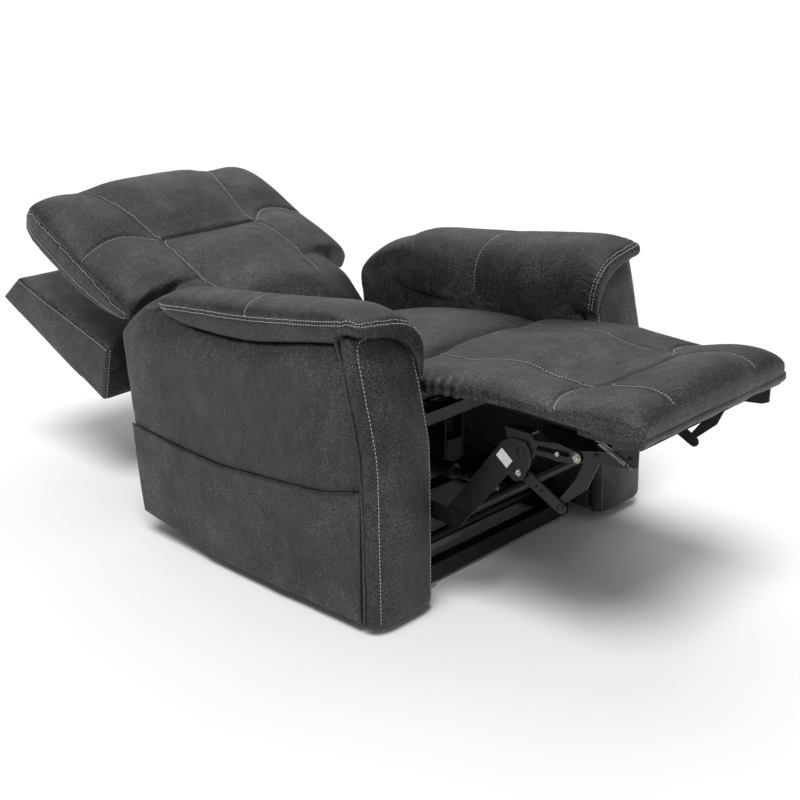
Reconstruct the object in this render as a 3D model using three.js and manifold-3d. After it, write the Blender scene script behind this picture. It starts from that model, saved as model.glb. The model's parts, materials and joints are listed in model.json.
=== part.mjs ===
// Power lift recliner chair, modelled reclined with its footrest out. Millimetres, +Z up.
// The sitter faces -Y, and the sitter's right side is -X. The floor is z = 0.
import * as THREE from 'three';
import { mergeVertices } from 'three/addons/utils/BufferGeometryUtils.js';
import Module from 'manifold-3d';

const wasm = await Module();
wasm.setup();

// ---- Driving dimensions -------------------------------------------------
const DEG = Math.PI / 180;
const GAP = 0.4; // between parts that rest on each other

// Arms, measured from the chair's middle plane
const ARM_OUT = 445;
const ARM_IN = 274;
const ARM_BOTTOM = 20;
const PAD_OUT = 452;
const PAD_IN = 268;

// Upholstery half-widths
const SEAT_HALF_REAR = 244;
const SEAT_HALF_FRONT = 262;
const CHAISE_HALF = 258;
const BACK_HALF = 350;
const SHELL_HALF = 345;
const LUMBAR_HALF = 244;
const SEAT_FRAME_OUT = 203;

// Layers of the mechanism, as distance of each plate's inner face from the middle plane
const PLATE = 4;
const CHASSIS_IN = 268.6;
const LIFT_LINK_IN = 261.5;
const LUG_IN = 256.2;
const BACK_BRACKET_IN = 262;
const HEAD_ARM_IN = 250;
const SWING_IN = 236.7;
const DRIVE_IN = 232;
const LONG_IN = 227.4;
const BRACKET_IN = 222.8;
const BENT_IN = 218.2;
const FOOTREST_MOTOR_X = -60;
const LIFT_MOTOR_X = 0;
const RECLINE_MOTOR_X = 60;

// Pivots, as [y, z]
const REAR_LINK_FOOT = [-150, 60];
const REAR_LINK_TOP = [200, 85];
const FRONT_LINK_FOOT = [-330, 54];
const FRONT_LINK_TOP = [-85, 110];
const LIFT_MOTOR_PIVOT = [290, 78];
const LIFT_MOTOR_EYE = [-130, 150]; // where the rod pushes the chassis
const FOOTREST_MOTOR_PIVOT = [-100, 190];
const RECLINE_MOTOR_PIVOT = [-216, 168];
const RECLINE_EYE = [60, 170]; // the bar under the back that the recline rod pushes
const BACK_HINGE = [110, 270];
const SWING_PIVOT = [-353, 196];
const DRIVE_PIVOT = [-481, 185];
const LONG_PIVOT = [-641, 365];
const CROSS_PIVOT = [-636, 324];
const BRACKET_PIVOT = [-760, 386];
const BENT_PIVOT = [-793, 395];
const OPEN_PIVOT = [-728, 277];
const BACK_ANGLE = 25;
const HEAD_HINGE = [160.5, -60.5]; // along and out of the reclined back
const RECLINE_BAR = [-87.6, -69.5];

// Base frame
const RAIL_IN = 228;
const RAIL_OUT = 256;
const RAIL_BOTTOM = 8;
const RAIL_TOP = 38;
const LIFT_EAR_GAP = 36; // from the middle plane to each ear that holds the lift motor
const LIFT_EAR = 8;

// ---- Helpers ------------------------------------------------------------
const chair = new THREE.Group();
const SIDES = { right: -1, left: 1 };

const MATERIALS = {
  cover: { color: 0x4a4748, roughness: 0.7, metalness: 0 },
  frame: { color: 0x35363a, roughness: 0.45, metalness: 0.6 },
  base: { color: 0x151516, roughness: 0.4, metalness: 0.5 },
  zinc: { color: 0xb9bbbd, roughness: 0.3, metalness: 1 },
  motor: { color: 0x2b333b, roughness: 0.5, metalness: 0 },
  glide: { color: 0xa8a196, roughness: 0.5, metalness: 0.2 },
  wood: { color: 0x8d7355, roughness: 0.8, metalness: 0 },
};

function add(name, geometry, look, parent = chair) {
  const mesh = new THREE.Mesh(geometry, new THREE.MeshStandardMaterial(MATERIALS[look]));
  mesh.name = name;
  parent.add(mesh);
  return mesh;
}

function solidOf(geometry) {
  const plain = geometry.clone();
  plain.deleteAttribute('normal');
  plain.deleteAttribute('uv');
  const merged = mergeVertices(plain, 1e-4);
  const vertProperties = new Float32Array(merged.attributes.position.array);
  const triVerts = new Uint32Array(merged.index.array);
  return new wasm.Manifold(new wasm.Mesh({ numProp: 3, vertProperties, triVerts }));
}

function geometryOf(solid) {
  const mesh = solid.getMesh();
  const geometry = new THREE.BufferGeometry();
  geometry.setAttribute('position', new THREE.BufferAttribute(mesh.vertProperties, 3));
  geometry.setIndex(new THREE.BufferAttribute(mesh.triVerts, 1));
  return geometry;
}

function join(...parts) {
  return geometryOf(parts.map(solidOf).reduce((whole, part) => whole.add(part)));
}

function cut(body, ...tools) {
  return geometryOf(tools.map(solidOf).reduce((left, tool) => left.subtract(tool), solidOf(body)));
}

// A block between two corners.
function block(x0, x1, y0, y1, z0, z1) {
  const box = new THREE.BoxGeometry(x1 - x0, y1 - y0, z1 - z0);
  return box.translate((x0 + x1) / 2, (y0 + y1) / 2, (z0 + z1) / 2);
}

// A side-view outline of [y, z] points, extruded from x0 to x1.
function sideways(outline, x0, x1, holes = []) {
  const shape = new THREE.Shape(outline.map(([y, z]) => new THREE.Vector2(y, z)));
  for (const [y, z, radius] of holes) {
    const hole = new THREE.Path();
    hole.absarc(y, z, radius, 0, 2 * Math.PI, true);
    shape.holes.push(hole);
  }
  const options = { depth: x1 - x0, bevelEnabled: false, curveSegments: 8 };
  const geometry = new THREE.ExtrudeGeometry(shape, options);
  const axes = new THREE.Matrix4().makeBasis(
    new THREE.Vector3(0, 1, 0),
    new THREE.Vector3(0, 0, 1),
    new THREE.Vector3(1, 0, 0),
  );
  return geometry.applyMatrix4(axes).translate(x0, 0, 0);
}

// The x-range of a plate on one side, from its inner face and thickness.
function layer(side, inner, thickness = PLATE) {
  return side < 0 ? [-inner - thickness, -inner] : [inner, inner + thickness];
}

// A round bar along X through [y, z].
function crossBar([y, z], radius, x0, x1, segments = 16) {
  const bar = new THREE.CylinderGeometry(radius, radius, x1 - x0, segments);
  return bar.rotateZ(Math.PI / 2).translate((x0 + x1) / 2, y, z);
}

// The outline of a flat link with round ends of the given radii.
function linkOutline(from, to, radiusFrom, radiusTo, steps = 5) {
  const angle = Math.atan2(to[1] - from[1], to[0] - from[0]);
  const arc = (centre, radius, start) =>
    Array.from({ length: steps + 1 }, (_, i) => {
      const a = start + (i * Math.PI) / steps;
      return [centre[0] + radius * Math.cos(a), centre[1] + radius * Math.sin(a)];
    });
  return [
    ...arc(from, radiusFrom, angle + Math.PI / 2),
    ...arc(to, radiusTo, angle - Math.PI / 2),
  ];
}

// A closed body through rings of [x, y, z] points, with flat ends.
function loft(rings) {
  const count = rings[0].length;
  const points = rings.flat();
  const faces = [];
  for (let r = 0; r + 1 < rings.length; r += 1) {
    for (let i = 0; i < count; i += 1) {
      const a = r * count + i;
      const b = r * count + ((i + 1) % count);
      faces.push(a, b, b + count, a, b + count, a + count);
    }
  }
  for (const [start, flip] of [[0, true], [(rings.length - 1) * count, false]]) {
    for (let i = 1; i + 1 < count; i += 1) {
      const corners = [start, start + i, start + i + 1];
      faces.push(...(flip ? corners.reverse() : corners));
    }
  }
  const geometry = new THREE.BufferGeometry();
  geometry.setAttribute('position', new THREE.Float32BufferAttribute(points.flat(), 3));
  geometry.setIndex(volumeOf(points, faces) < 0 ? faces.reverse() : faces);
  return geometry;
}

function volumeOf(points, faces) {
  let volume = 0;
  for (let i = 0; i < faces.length; i += 3) {
    const [a, b, c] = [0, 1, 2].map((k) => new THREE.Vector3(...points[faces[i + k]]));
    volume += a.dot(b.cross(c));
  }
  return volume;
}

// A cushion's cross-section in the X-Z plane at one y: flat below, crowned above.
function cushionRing(y, half, bottom, edge, top) {
  const crown = [
    [1, edge],
    [0.86, edge + 0.62 * (top - edge)],
    [0.55, edge + 0.92 * (top - edge)],
    [0, top],
    [-0.55, edge + 0.92 * (top - edge)],
    [-0.86, edge + 0.62 * (top - edge)],
    [-1, edge],
  ];
  const base = [[-0.96, bottom], [0.96, bottom]];
  return [...crown, ...base].map(([share, z]) => [share * half, y, z]);
}

// A cushion lofted along Y from stations of { y, half, bottom, edge, top }.
function cushion(stations) {
  return loft(stations.map((s) => cushionRing(s.y, s.half, s.bottom, s.edge, s.top)));
}

// ---- Base frame ---------------------------------------------------------
function baseRail(side) {
  const [x0, x1] = side < 0 ? [-RAIL_OUT, -RAIL_IN] : [RAIL_IN, RAIL_OUT];
  const rail = block(x0, x1, -377.6, 281, RAIL_BOTTOM, RAIL_TOP);
  const parts = [rail];
  for (const [pivot, reach] of [[FRONT_LINK_FOOT, 20], [REAR_LINK_FOOT, 20]]) {
    const [y, z] = pivot;
    const lug = [
      [y - reach - 6, RAIL_BOTTOM + 4],
      [y + reach + 6, RAIL_BOTTOM + 4],
      [y + reach, z + 8],
      [y + 10, z + reach],
      [y - 10, z + reach],
      [y - reach, z + 8],
    ];
    const [l0, l1] = side < 0 ? [-LUG_IN - PLATE, -RAIL_OUT + 2] : [RAIL_OUT - 2, LUG_IN + PLATE];
    parts.push(sideways(lug, l0, l1));
  }
  const body = join(...parts);
  const reach = side < 0 ? [-270, -250] : [250, 270];
  return cut(
    body,
    crossBar(FRONT_LINK_FOOT, 12.8, ...reach),
    crossBar(REAR_LINK_FOOT, 12.8, ...reach),
  );
}

function addBase() {
  for (const [label, side] of Object.entries(SIDES)) {
    add(`base_rail_${label}`, baseRail(side), 'base');
  }
  add('base_front_tube', block(-RAIL_OUT, RAIL_OUT, -404, -378, RAIL_BOTTOM, 45), 'base');
  const rear = block(-RAIL_OUT, RAIL_OUT, 281.4, 306, RAIL_BOTTOM, RAIL_TOP);
  const ear = [[282, 36], [306, 36], [304, 96], [280, 96]];
  const reach = LIFT_EAR_GAP + LIFT_EAR;
  const motorEars = [-reach, LIFT_EAR_GAP].map((x) => sideways(ear, x, x + LIFT_EAR));
  add('base_rear_tube', join(rear, ...motorEars), 'base');
  for (const [end, y] of [['front', -391], ['rear', 293]]) {
    for (const [label, side] of Object.entries(SIDES)) {
      const disc = new THREE.CylinderGeometry(17, 21, RAIL_BOTTOM - GAP, 16);
      disc.rotateX(Math.PI / 2).translate(side * 209, y, (RAIL_BOTTOM - GAP) / 2);
      add(`glide_${end}_${label}`, disc, 'glide');
    }
  }
}

// ---- Lift links ---------------------------------------------------------
function liftLink(foot, top, side) {
  const [x0, x1] = layer(side, LIFT_LINK_IN, 5);
  return sideways(linkOutline(foot, top, 16, 15), x0, x1, [[...top, 4]]);
}

function addLiftLinks() {
  const reach = LIFT_LINK_IN - GAP;
  const pairs = { front: [FRONT_LINK_FOOT, FRONT_LINK_TOP], rear: [REAR_LINK_FOOT, REAR_LINK_TOP] };
  for (const [end, [foot, top]] of Object.entries(pairs)) {
    for (const [label, side] of Object.entries(SIDES)) {
      add(`${end}_lift_link_${label}`, liftLink(foot, top, side), 'frame');
    }
    add(`${end}_lift_tube`, crossBar(foot, 12, -reach, reach), 'base');
  }
}

// ---- Linear actuators ---------------------------------------------------
const BORE = 10.8;
const MOTOR_HEIGHT = 54;

// A gear housing at the origin with a guide tube along +Y, bored from its far end.
function actuatorBody(length, gearsLength, gearsHeight) {
  const gears = block(-24, 24, -14, gearsLength, -gearsHeight * 0.45, gearsHeight * 0.55);
  const wall = [[BORE, 24], [17, 24], [17, length], [BORE, length], [BORE, 24]];
  const profile = wall.map(([r, y]) => new THREE.Vector2(r, y));
  const tube = new THREE.LatheGeometry(profile, 14);
  const bore = new THREE.CylinderGeometry(BORE, BORE, length, 14);
  bore.translate(0, 24 + length / 2, 0);
  return join(cut(gears, bore), tube);
}

// The rod that slides in the guide tube, with a flat eye at its tip.
function actuatorRod(start, tip) {
  const rod = new THREE.CylinderGeometry(10, 10, tip - start - 10, 14);
  rod.translate(0, (start + tip - 10) / 2, 0);
  return join(rod, block(-7, 7, tip - 24, tip, -11, 11));
}

// The direction from one [y, z] point to another, in degrees.
function bearing(from, to) {
  return Math.atan2(to[1] - from[1], to[0] - from[0]) / DEG;
}

// Places an actuator piece at [y, z], turned so that its +Y points along the given angle.
function place(mesh, x, [y, z], degrees) {
  mesh.position.set(x, y, z);
  mesh.rotation.x = degrees * DEG;
  return mesh;
}

function addActuators() {
  const kinds = {
    lift: {
      x: LIFT_MOTOR_X,
      from: LIFT_MOTOR_PIVOT,
      to: LIFT_MOTOR_EYE,
      tube: 388,
      gears: 120,
      rod: [110, 420],
    },
    footrest: {
      x: FOOTREST_MOTOR_X,
      from: FOOTREST_MOTOR_PIVOT,
      to: DRIVE_PIVOT,
      tube: 235,
      gears: 130,
      rod: [130, 366],
    },
    recline: {
      x: RECLINE_MOTOR_X,
      from: RECLINE_MOTOR_PIVOT,
      to: RECLINE_EYE,
      tube: 228,
      gears: 90,
      rod: [125, 265],
    },
  };
  for (const [name, { x, from, to, tube, gears, rod }] of Object.entries(kinds)) {
    const angle = bearing(from, to);
    const body = actuatorBody(tube, gears, MOTOR_HEIGHT);
    place(add(`${name}_motor`, body, 'motor'), x, from, angle);
    place(add(`${name}_motor_rod`, actuatorRod(...rod), 'zinc'), x, from, angle);
  }
}

// ---- Chassis ------------------------------------------------------------
function addChassis() {
  const plate = [
    [-383, 182],
    [-383, 212],
    [-352, 230],
    [-240, 280],
    [-60, 284],
    [88, 300],
    [130, 300],
    [148, 276],
    [236, 116],
    [226, 64],
    [180, 58],
    [-60, 86],
    [-112, 92],
    [-300, 150],
  ];
  for (const [label, side] of Object.entries(SIDES)) {
    const [x0, x1] = layer(side, CHASSIS_IN, 5);
    add(`chassis_plate_${label}`, sideways(plate, x0, x1), 'frame');
  }
  const reach = CHASSIS_IN - GAP;
  add('chassis_front_tube', chassisFrontTube(reach), 'frame');
  add('chassis_mid_tube', chassisMidTube(reach), 'frame');
  add('chassis_rear_tube', crossBar([222, 138], 13, -reach, reach), 'frame');
  add('control_box', block(-50, 50, 40, 120, 230, 261.6), 'motor');
}

// Two ears either side of an actuator, half-gap from its middle.
function ears(outline, x, halfGap, thickness = 5) {
  return [
    sideways(outline, x - halfGap - thickness, x - halfGap),
    sideways(outline, x + halfGap, x + halfGap + thickness),
  ];
}

// The front cross tube, with the ears that hold the recline motor.
function chassisFrontTube(reach) {
  const ear = [[-230, 150], [-204, 150], [-204, 255], [-228, 255]];
  const tube = block(-reach, reach, -228, -204, 250, 274);
  return join(tube, ...ears(ear, RECLINE_MOTOR_X, 26));
}

// The middle cross tube, with ears for the footrest motor and for the lift rod.
function chassisMidTube(reach) {
  const tube = block(-reach, reach, -92, -68, 236, 260);
  const motorEar = [[-114, 176], [-86, 176], [-70, 240], [-90, 240]];
  const rodEar = [[-142, 138], [-116, 138], [-70, 240], [-90, 240], [-142, 162]];
  return join(
    tube,
    ...ears(motorEar, FOOTREST_MOTOR_X, 26),
    ...ears(rodEar, LIFT_MOTOR_X, 12),
  );
}

// ---- Arms ---------------------------------------------------------------
function armBody(side) {
  const outline = [
    [-447, ARM_BOTTOM],
    [-17, ARM_BOTTOM],
    [229, 52],
    [276, 440],
    [266, 456],
    [134, 500],
    [-136, 500],
    [-319, 526],
    [-392, 530],
    [-436, 358],
  ];
  const [x0, x1] = side < 0 ? [-ARM_OUT, -ARM_IN] : [ARM_IN, ARM_OUT];
  return sideways(outline, x0, x1);
}

// The padded panel on the arm's front, bowed forward in plan.
function armFront(side) {
  const stations = [
    { z: ARM_BOTTOM, seam: -448, edge: -455, bow: -482 },
    { z: 330, seam: -438.6, edge: -446, bow: -475 },
    { z: 358, seam: -437, edge: -443, bow: -472 },
    { z: 470, seam: -408.4, edge: -418, bow: -445 },
    { z: 530, seam: -392.8, edge: -405, bow: -430 },
    { z: 578, seam: -379.8, edge: -393, bow: -414 },
  ];
  return loft(
    stations.map(({ z, seam, edge, bow }) =>
      [
        [ARM_IN, seam],
        [ARM_OUT, seam],
        [ARM_OUT, edge],
        [410, bow + 4],
        [360, bow],
        [310, bow + 4],
        [ARM_IN, edge],
      ].map(([x, y]) => [side * x, y, z]),
    ),
  );
}

function armPad(side) {
  const stations = [
    { y: 268, bottom: 457, edge: 466, top: 486 },
    { y: 209, bottom: 476, edge: 500, top: 536 },
    { y: 134, bottom: 501, edge: 526, top: 559 },
    { y: -22, bottom: 501, edge: 536, top: 578 },
    { y: -136, bottom: 501, edge: 546, top: 592 },
    { y: -319, bottom: 527, edge: 570, top: 614 },
    { y: -368, bottom: 549, edge: 582, top: 620 },
    { y: -378, bottom: 579, edge: 590, top: 619 },
    { y: -424, bottom: 579, edge: 592, top: 608 },
    { y: -442, bottom: 580, edge: 585, top: 592 },
  ];
  const half = (PAD_OUT - PAD_IN) / 2;
  const pad = cushion(stations.map((station) => ({ ...station, half })));
  return pad.translate((side * (PAD_OUT + PAD_IN)) / 2, 0, 0);
}

// A flat pocket on the outside of the right arm, open at its top edge.
function armPocket() {
  const outline = [
    [-442, 24],
    [-17, 24],
    [224, 56],
    [248, 252],
    [120, 244],
    [-47, 238],
    [-245, 256],
    [-342, 267],
    [-436, 291],
  ];
  const back = sideways(outline, -ARM_OUT - 1.8, -ARM_OUT - GAP);
  const front = sideways(outline, -ARM_OUT - 9, -ARM_OUT - 7);
  const hollow = outline.map(([y, z]) => [y * 0.93 + 2, 40 + (z - 24) * 1.3]);
  const rim = cut(sideways(outline, -ARM_OUT - 8, -ARM_OUT - 1), sideways(hollow, -460, -440));
  return join(back, rim, front);
}

function addArms() {
  for (const [label, side] of Object.entries(SIDES)) {
    add(`arm_${label}`, armBody(side), 'cover');
    add(`arm_front_${label}`, armFront(side), 'cover');
    add(`arm_pad_${label}`, armPad(side), 'cover');
  }
  add('arm_pocket', armPocket(), 'cover');
}

// ---- Seat ---------------------------------------------------------------
function addSeat() {
  const reach = CHASSIS_IN - GAP;
  add('seat_frame', seatFrame(), 'frame');
  add('seat_rear_rail', block(-reach, reach, 56, 84, 262, 288), 'frame');
  add('seat_springs', seatSprings(), 'zinc');
  add('seat_cushion', seatCushion(), 'cover');
  const bridge = [
    { y: -559.6, half: CHAISE_HALF, bottom: 452, edge: 462, top: 491 },
    { y: -500, half: CHAISE_HALF, bottom: 446, edge: 460, top: 488 },
    { y: -434, half: CHAISE_HALF, bottom: 440, edge: 456, top: 474 },
    { y: -354, half: CHAISE_HALF, bottom: 426, edge: 440, top: 466 },
    { y: -336, half: CHAISE_HALF, bottom: 424, edge: 436, top: 456 },
  ];
  add('chaise_bridge', cushion(bridge), 'cover');
}

// The front rail and side rails of the seat, inside the footrest links.
function seatFrame() {
  const front = block(-SEAT_FRAME_OUT, SEAT_FRAME_OUT, -352, -326, 322, 348);
  const side = [[-340, 322], [55.6, 268], [55.6, 290], [-340, 346]];
  return join(
    front,
    sideways(side, -SEAT_FRAME_OUT, -SEAT_FRAME_OUT + 14),
    sideways(side, SEAT_FRAME_OUT - 14, SEAT_FRAME_OUT),
  );
}

// One spring mat that hooks between the seat's rails.
function seatSprings() {
  const strips = 9;
  const half = 182;
  const wire = 5;
  const [front, rear] = [-325.5, 55.5];
  const line = (y) => 322 - ((y + 325) / 380) * 42;
  const outline = [
    [front, line(front)],
    [rear, line(rear)],
    [rear, line(rear) + wire],
    [front, line(front) + wire],
  ];
  const parts = Array.from({ length: strips }, (_, i) => {
    const x = -half + (2 * half * i) / (strips - 1);
    return sideways(outline, x - 4, x + 4);
  });
  for (const y of [-240, -135, -30]) {
    parts.push(block(-half, half, y - 4, y + 4, line(y) + 0.5, line(y) + 4.5));
  }
  return join(...parts);
}

function seatCushion() {
  return cushion([
    { y: -333, half: SEAT_HALF_FRONT, bottom: 366, edge: 420, top: 447 },
    { y: -290, half: SEAT_HALF_FRONT, bottom: 357, edge: 428, top: 462 },
    { y: -180, half: SEAT_HALF_FRONT, bottom: 355, edge: 418, top: 462 },
    { y: -60, half: SEAT_HALF_REAR, bottom: 336, edge: 404, top: 446 },
    { y: 40, half: SEAT_HALF_REAR, bottom: 318, edge: 384, top: 418 },
    { y: 110, half: SEAT_HALF_REAR, bottom: 306, edge: 370, top: 394 },
    { y: 170, half: SEAT_HALF_REAR, bottom: 300, edge: 356, top: 376 },
    { y: 196, half: SEAT_HALF_REAR, bottom: 306, edge: 340, top: 356 },
  ]);
}

// ---- Footrest -----------------------------------------------------------
function swingLink(side) {
  const [x0, x1] = layer(side, SWING_IN);
  const link = sideways(linkOutline(SWING_PIVOT, DRIVE_PIVOT, 16, 17), x0, x1);
  const stub = side < 0 ? [-CHASSIS_IN + GAP, x0 + 1] : [x1 - 1, CHASSIS_IN - GAP];
  return join(link, crossBar(SWING_PIVOT, 10, ...stub));
}

function driveLink(side) {
  const outline = [
    [-466, 172],
    [-459, 186],
    [-468, 204],
    [-598, 376],
    [-622, 388],
    [-652, 388],
    [-664, 370],
    [-660, 340],
    [-648, 312],
    [-630, 305],
    [-612, 314],
    [-500, 172],
    [-484, 164],
  ];
  const [x0, x1] = layer(side, DRIVE_IN);
  const stub = side < 0 ? [x1 - 1, -BRACKET_IN + 0.6] : [BRACKET_IN - 0.6, x0 + 1];
  const plate = sideways(outline, x0, x1, [[...DRIVE_PIVOT, 11.7]]);
  return join(plate, crossBar(LONG_PIVOT, 8, ...shortStub(side)), crossBar(CROSS_PIVOT, 4, ...stub));
}

// The drive plate's pivot stub for the long link, which ends level with that link.
function shortStub(side) {
  return side < 0 ? [-DRIVE_IN - 1, -LONG_IN + 0.6] : [LONG_IN - 0.6, DRIVE_IN + 1];
}

function longLink(side) {
  const outline = [
    [-700, 369],
    [-672, 367],
    [-656, 348],
    [-628, 343],
    [-612, 360],
    [-600, 404],
    [-658, 404],
    [-668, 394],
    [-684, 396],
    [-719, 402],
    [-764, 397],
    [-772, 386],
    [-762, 374],
    [-720, 368],
  ];
  const [x0, x1] = layer(side, LONG_IN);
  const plate = sideways(outline, x0, x1, [[...LONG_PIVOT, 8.7]]);
  const slot = sideways(linkOutline([-676, 382], [-742, 387], 5, 5), x0 - 1, x1 + 1);
  const flange = side < 0 ? [x0, x0 + 26] : [x1 - 26, x1];
  const stub = side < 0 ? [x1 - 1, -BRACKET_IN + 0.6] : [BRACKET_IN - 0.6, x0 + 1];
  return join(
    cut(plate, slot),
    block(...flange, -658, -600, 400, 404),
    crossBar(BRACKET_PIVOT, 7, ...stub),
  );
}

function bracket(side) {
  const outline = [
    [-744, 376],
    [-742, 397],
    [-770, 400],
    [-820, 412],
    [-860, 427],
    [-866, 437.5],
    [-884, 437.5],
    [-884, 400],
    [-871, 394],
    [-822, 388],
    [-770, 377],
    [-760, 372],
  ];
  const [x0, x1] = layer(side, BRACKET_IN);
  const stub = side < 0 ? [x1 - 1, -BENT_IN + 0.6] : [BENT_IN - 0.6, x0 + 1];
  const plate = sideways(outline, x0, x1, [[...BRACKET_PIVOT, 7.7]]);
  const flange = side < 0 ? [x0, x0 + 24] : [x1 - 24, x1];
  return join(
    plate,
    block(...flange, -884, -864, 434.5, 437.5),
    crossBar(BENT_PIVOT, 5, ...stub),
  );
}

function crossLink(side) {
  const [x0, x1] = layer(side, BRACKET_IN);
  const holes = [[...CROSS_PIVOT, 4.6], [-672, 305, 3], [-684, 299, 3]];
  return sideways(linkOutline(CROSS_PIVOT, OPEN_PIVOT, 13, 11), x0, x1, holes);
}

function bentLink(side) {
  const outline = [
    [-716, 272],
    [-744, 296],
    [-779, 328],
    [-806, 390],
    [-801, 404],
    [-786, 405],
    [-779, 396],
    [-754, 338],
    [-721, 292],
    [-716, 284],
  ];
  const [x0, x1] = layer(side, BENT_IN);
  return sideways(outline.reverse(), x0, x1, [[...BENT_PIVOT, 5.6]]);
}

function addFootrest() {
  const makers = {
    swing_link: swingLink,
    drive_link: driveLink,
    long_link: longLink,
    ottoman_bracket: bracket,
    cross_link: crossLink,
    bent_link: bentLink,
  };
  for (const [label, side] of Object.entries(SIDES)) {
    for (const [name, make] of Object.entries(makers)) {
      add(`${name}_${label}`, make(side), 'frame');
    }
  }
  const reach = SWING_IN - 0.3;
  add('footrest_tube', crossBar(DRIVE_PIVOT, 11, -reach, reach), 'frame');
  add('ottoman_board', block(-236, 236, -898, -600, 437.9, 456.6), 'wood');
  add('ottoman_pad', ottomanPad(), 'cover');
}

function ottomanPad() {
  return cushion([
    { y: -904, half: 240, bottom: 460, edge: 476, top: 487 },
    { y: -888, half: 252, bottom: 458, edge: 478, top: 504 },
    { y: -850, half: CHAISE_HALF, bottom: 457, edge: 478, top: 514 },
    { y: -800, half: CHAISE_HALF, bottom: 457, edge: 475, top: 508 },
    { y: -719, half: CHAISE_HALF, bottom: 457, edge: 470, top: 486 },
    { y: -630, half: CHAISE_HALF, bottom: 457, edge: 468, top: 486 },
    { y: -560, half: CHAISE_HALF, bottom: 457, edge: 467, top: 492 },
  ]);
}

// ---- Back, built flat and then reclined about its hinge ------------------
const back = new THREE.Group();
back.position.set(0, ...BACK_HINGE);
back.rotation.x = BACK_ANGLE * DEG;
chair.add(back);

// Two side brackets with the webbing panel and the recline bar between them.
function backFrame() {
  const outline = [
    [-20, -10],
    [-98, -64],
    [-98, -76],
    [-84, -80],
    [0, -40],
    [100, -92],
    [322, -92],
    [322, -60],
    [120, -44],
    [20, 12],
    [0, 22],
    [-18, 12],
  ];
  const brackets = Object.values(SIDES).map((side) =>
    sideways(outline, ...layer(side, BACK_BRACKET_IN, 5)),
  );
  const reach = BACK_BRACKET_IN + 1;
  const panel = block(-reach, reach, 150, 322, -90, -75);
  const bar = crossBar(RECLINE_BAR, 9, -reach, reach);
  return join(panel, bar, ...brackets);
}

function backShell() {
  const outline = [[328, -222], [773, -231], [727, -137], [360, -79]];
  const box = sideways(outline, -SHELL_HALF, SHELL_HALF);
  const hollow = block(-300, 300, 388, 706, -214, -20);
  const apron = block(-250, 250, 110, 340, -222, -206);
  return join(cut(box, hollow), apron);
}

function lumbarPad() {
  return cushion([
    { y: 137, half: LUMBAR_HALF, bottom: 8, edge: 44, top: 70 },
    { y: 165, half: LUMBAR_HALF, bottom: -40, edge: 52, top: 88 },
    { y: 230, half: LUMBAR_HALF, bottom: -74, edge: 70, top: 117 },
    { y: 322, half: LUMBAR_HALF, bottom: -74, edge: 66, top: 104 },
  ]);
}

function headPad() {
  return cushion([
    { y: 323, half: 338, bottom: -14, edge: 40, top: 98 },
    { y: 345, half: BACK_HALF, bottom: -20, edge: 42, top: 102 },
    { y: 430, half: BACK_HALF, bottom: -22, edge: 46, top: 100 },
    { y: 522, half: BACK_HALF, bottom: -22, edge: 50, top: 92 },
    { y: 620, half: 347, bottom: -23, edge: 50, top: 98 },
    { y: 700, half: 342, bottom: -24, edge: 48, top: 92 },
    { y: 750, half: 330, bottom: -24, edge: 40, top: 70 },
    { y: 774, half: 316, bottom: -18, edge: 10, top: 34 },
  ]);
}

function headFrame() {
  const panel = block(-288, 288, 392, 690, -40, -24.6);
  const [hy, hz] = HEAD_HINGE;
  const arm = [
    [hy - 12, hz - 8],
    [hy + 12, hz - 8],
    [330, -46],
    [400, -40],
    [400, -24.6],
    [330, -28],
    [hy - 12, hz + 10],
  ];
  const arms = Object.values(SIDES).map((side) => sideways(arm, ...layer(side, HEAD_ARM_IN, 6)));
  return join(panel, ...arms);
}

function addBack() {
  add('back_frame', backFrame(), 'frame', back);
  add('back_shell', backShell(), 'cover', back);
  add('lumbar_pad', lumbarPad(), 'cover', back);
  add('headrest_pad', headPad(), 'cover', back);
  add('headrest_frame', headFrame(), 'frame', back);
  const housing = cut(
    block(-34, 34, 612, 668, -213.6, -134),
    new THREE.CylinderGeometry(BORE, BORE, 120, 14).rotateX(Math.PI / 2).translate(0, 640, -140),
  );
  add('headrest_motor', housing, 'motor', back);
  const rod = new THREE.CylinderGeometry(10, 10, 70, 14).rotateX(Math.PI / 2);
  add('headrest_motor_rod', rod.translate(0, 640, -81), 'zinc', back);
}

addBase();
addLiftLinks();
addActuators();
addChassis();
addArms();
addSeat();
addFootrest();
addBack();
chair.updateMatrixWorld(true);

export default chair;
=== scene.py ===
"""Looks of a power lift recliner, reclined with its footrest out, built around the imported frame.

Metres, +Z up. The sitter faces -Y, and the sitter's right side is -X.
"""

import json
import math

import bmesh
import bpy
import numpy as np
from mathutils import Matrix, Vector, noise
from mathutils.bvhtree import BVHTree
from mathutils.kdtree import KDTree


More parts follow.
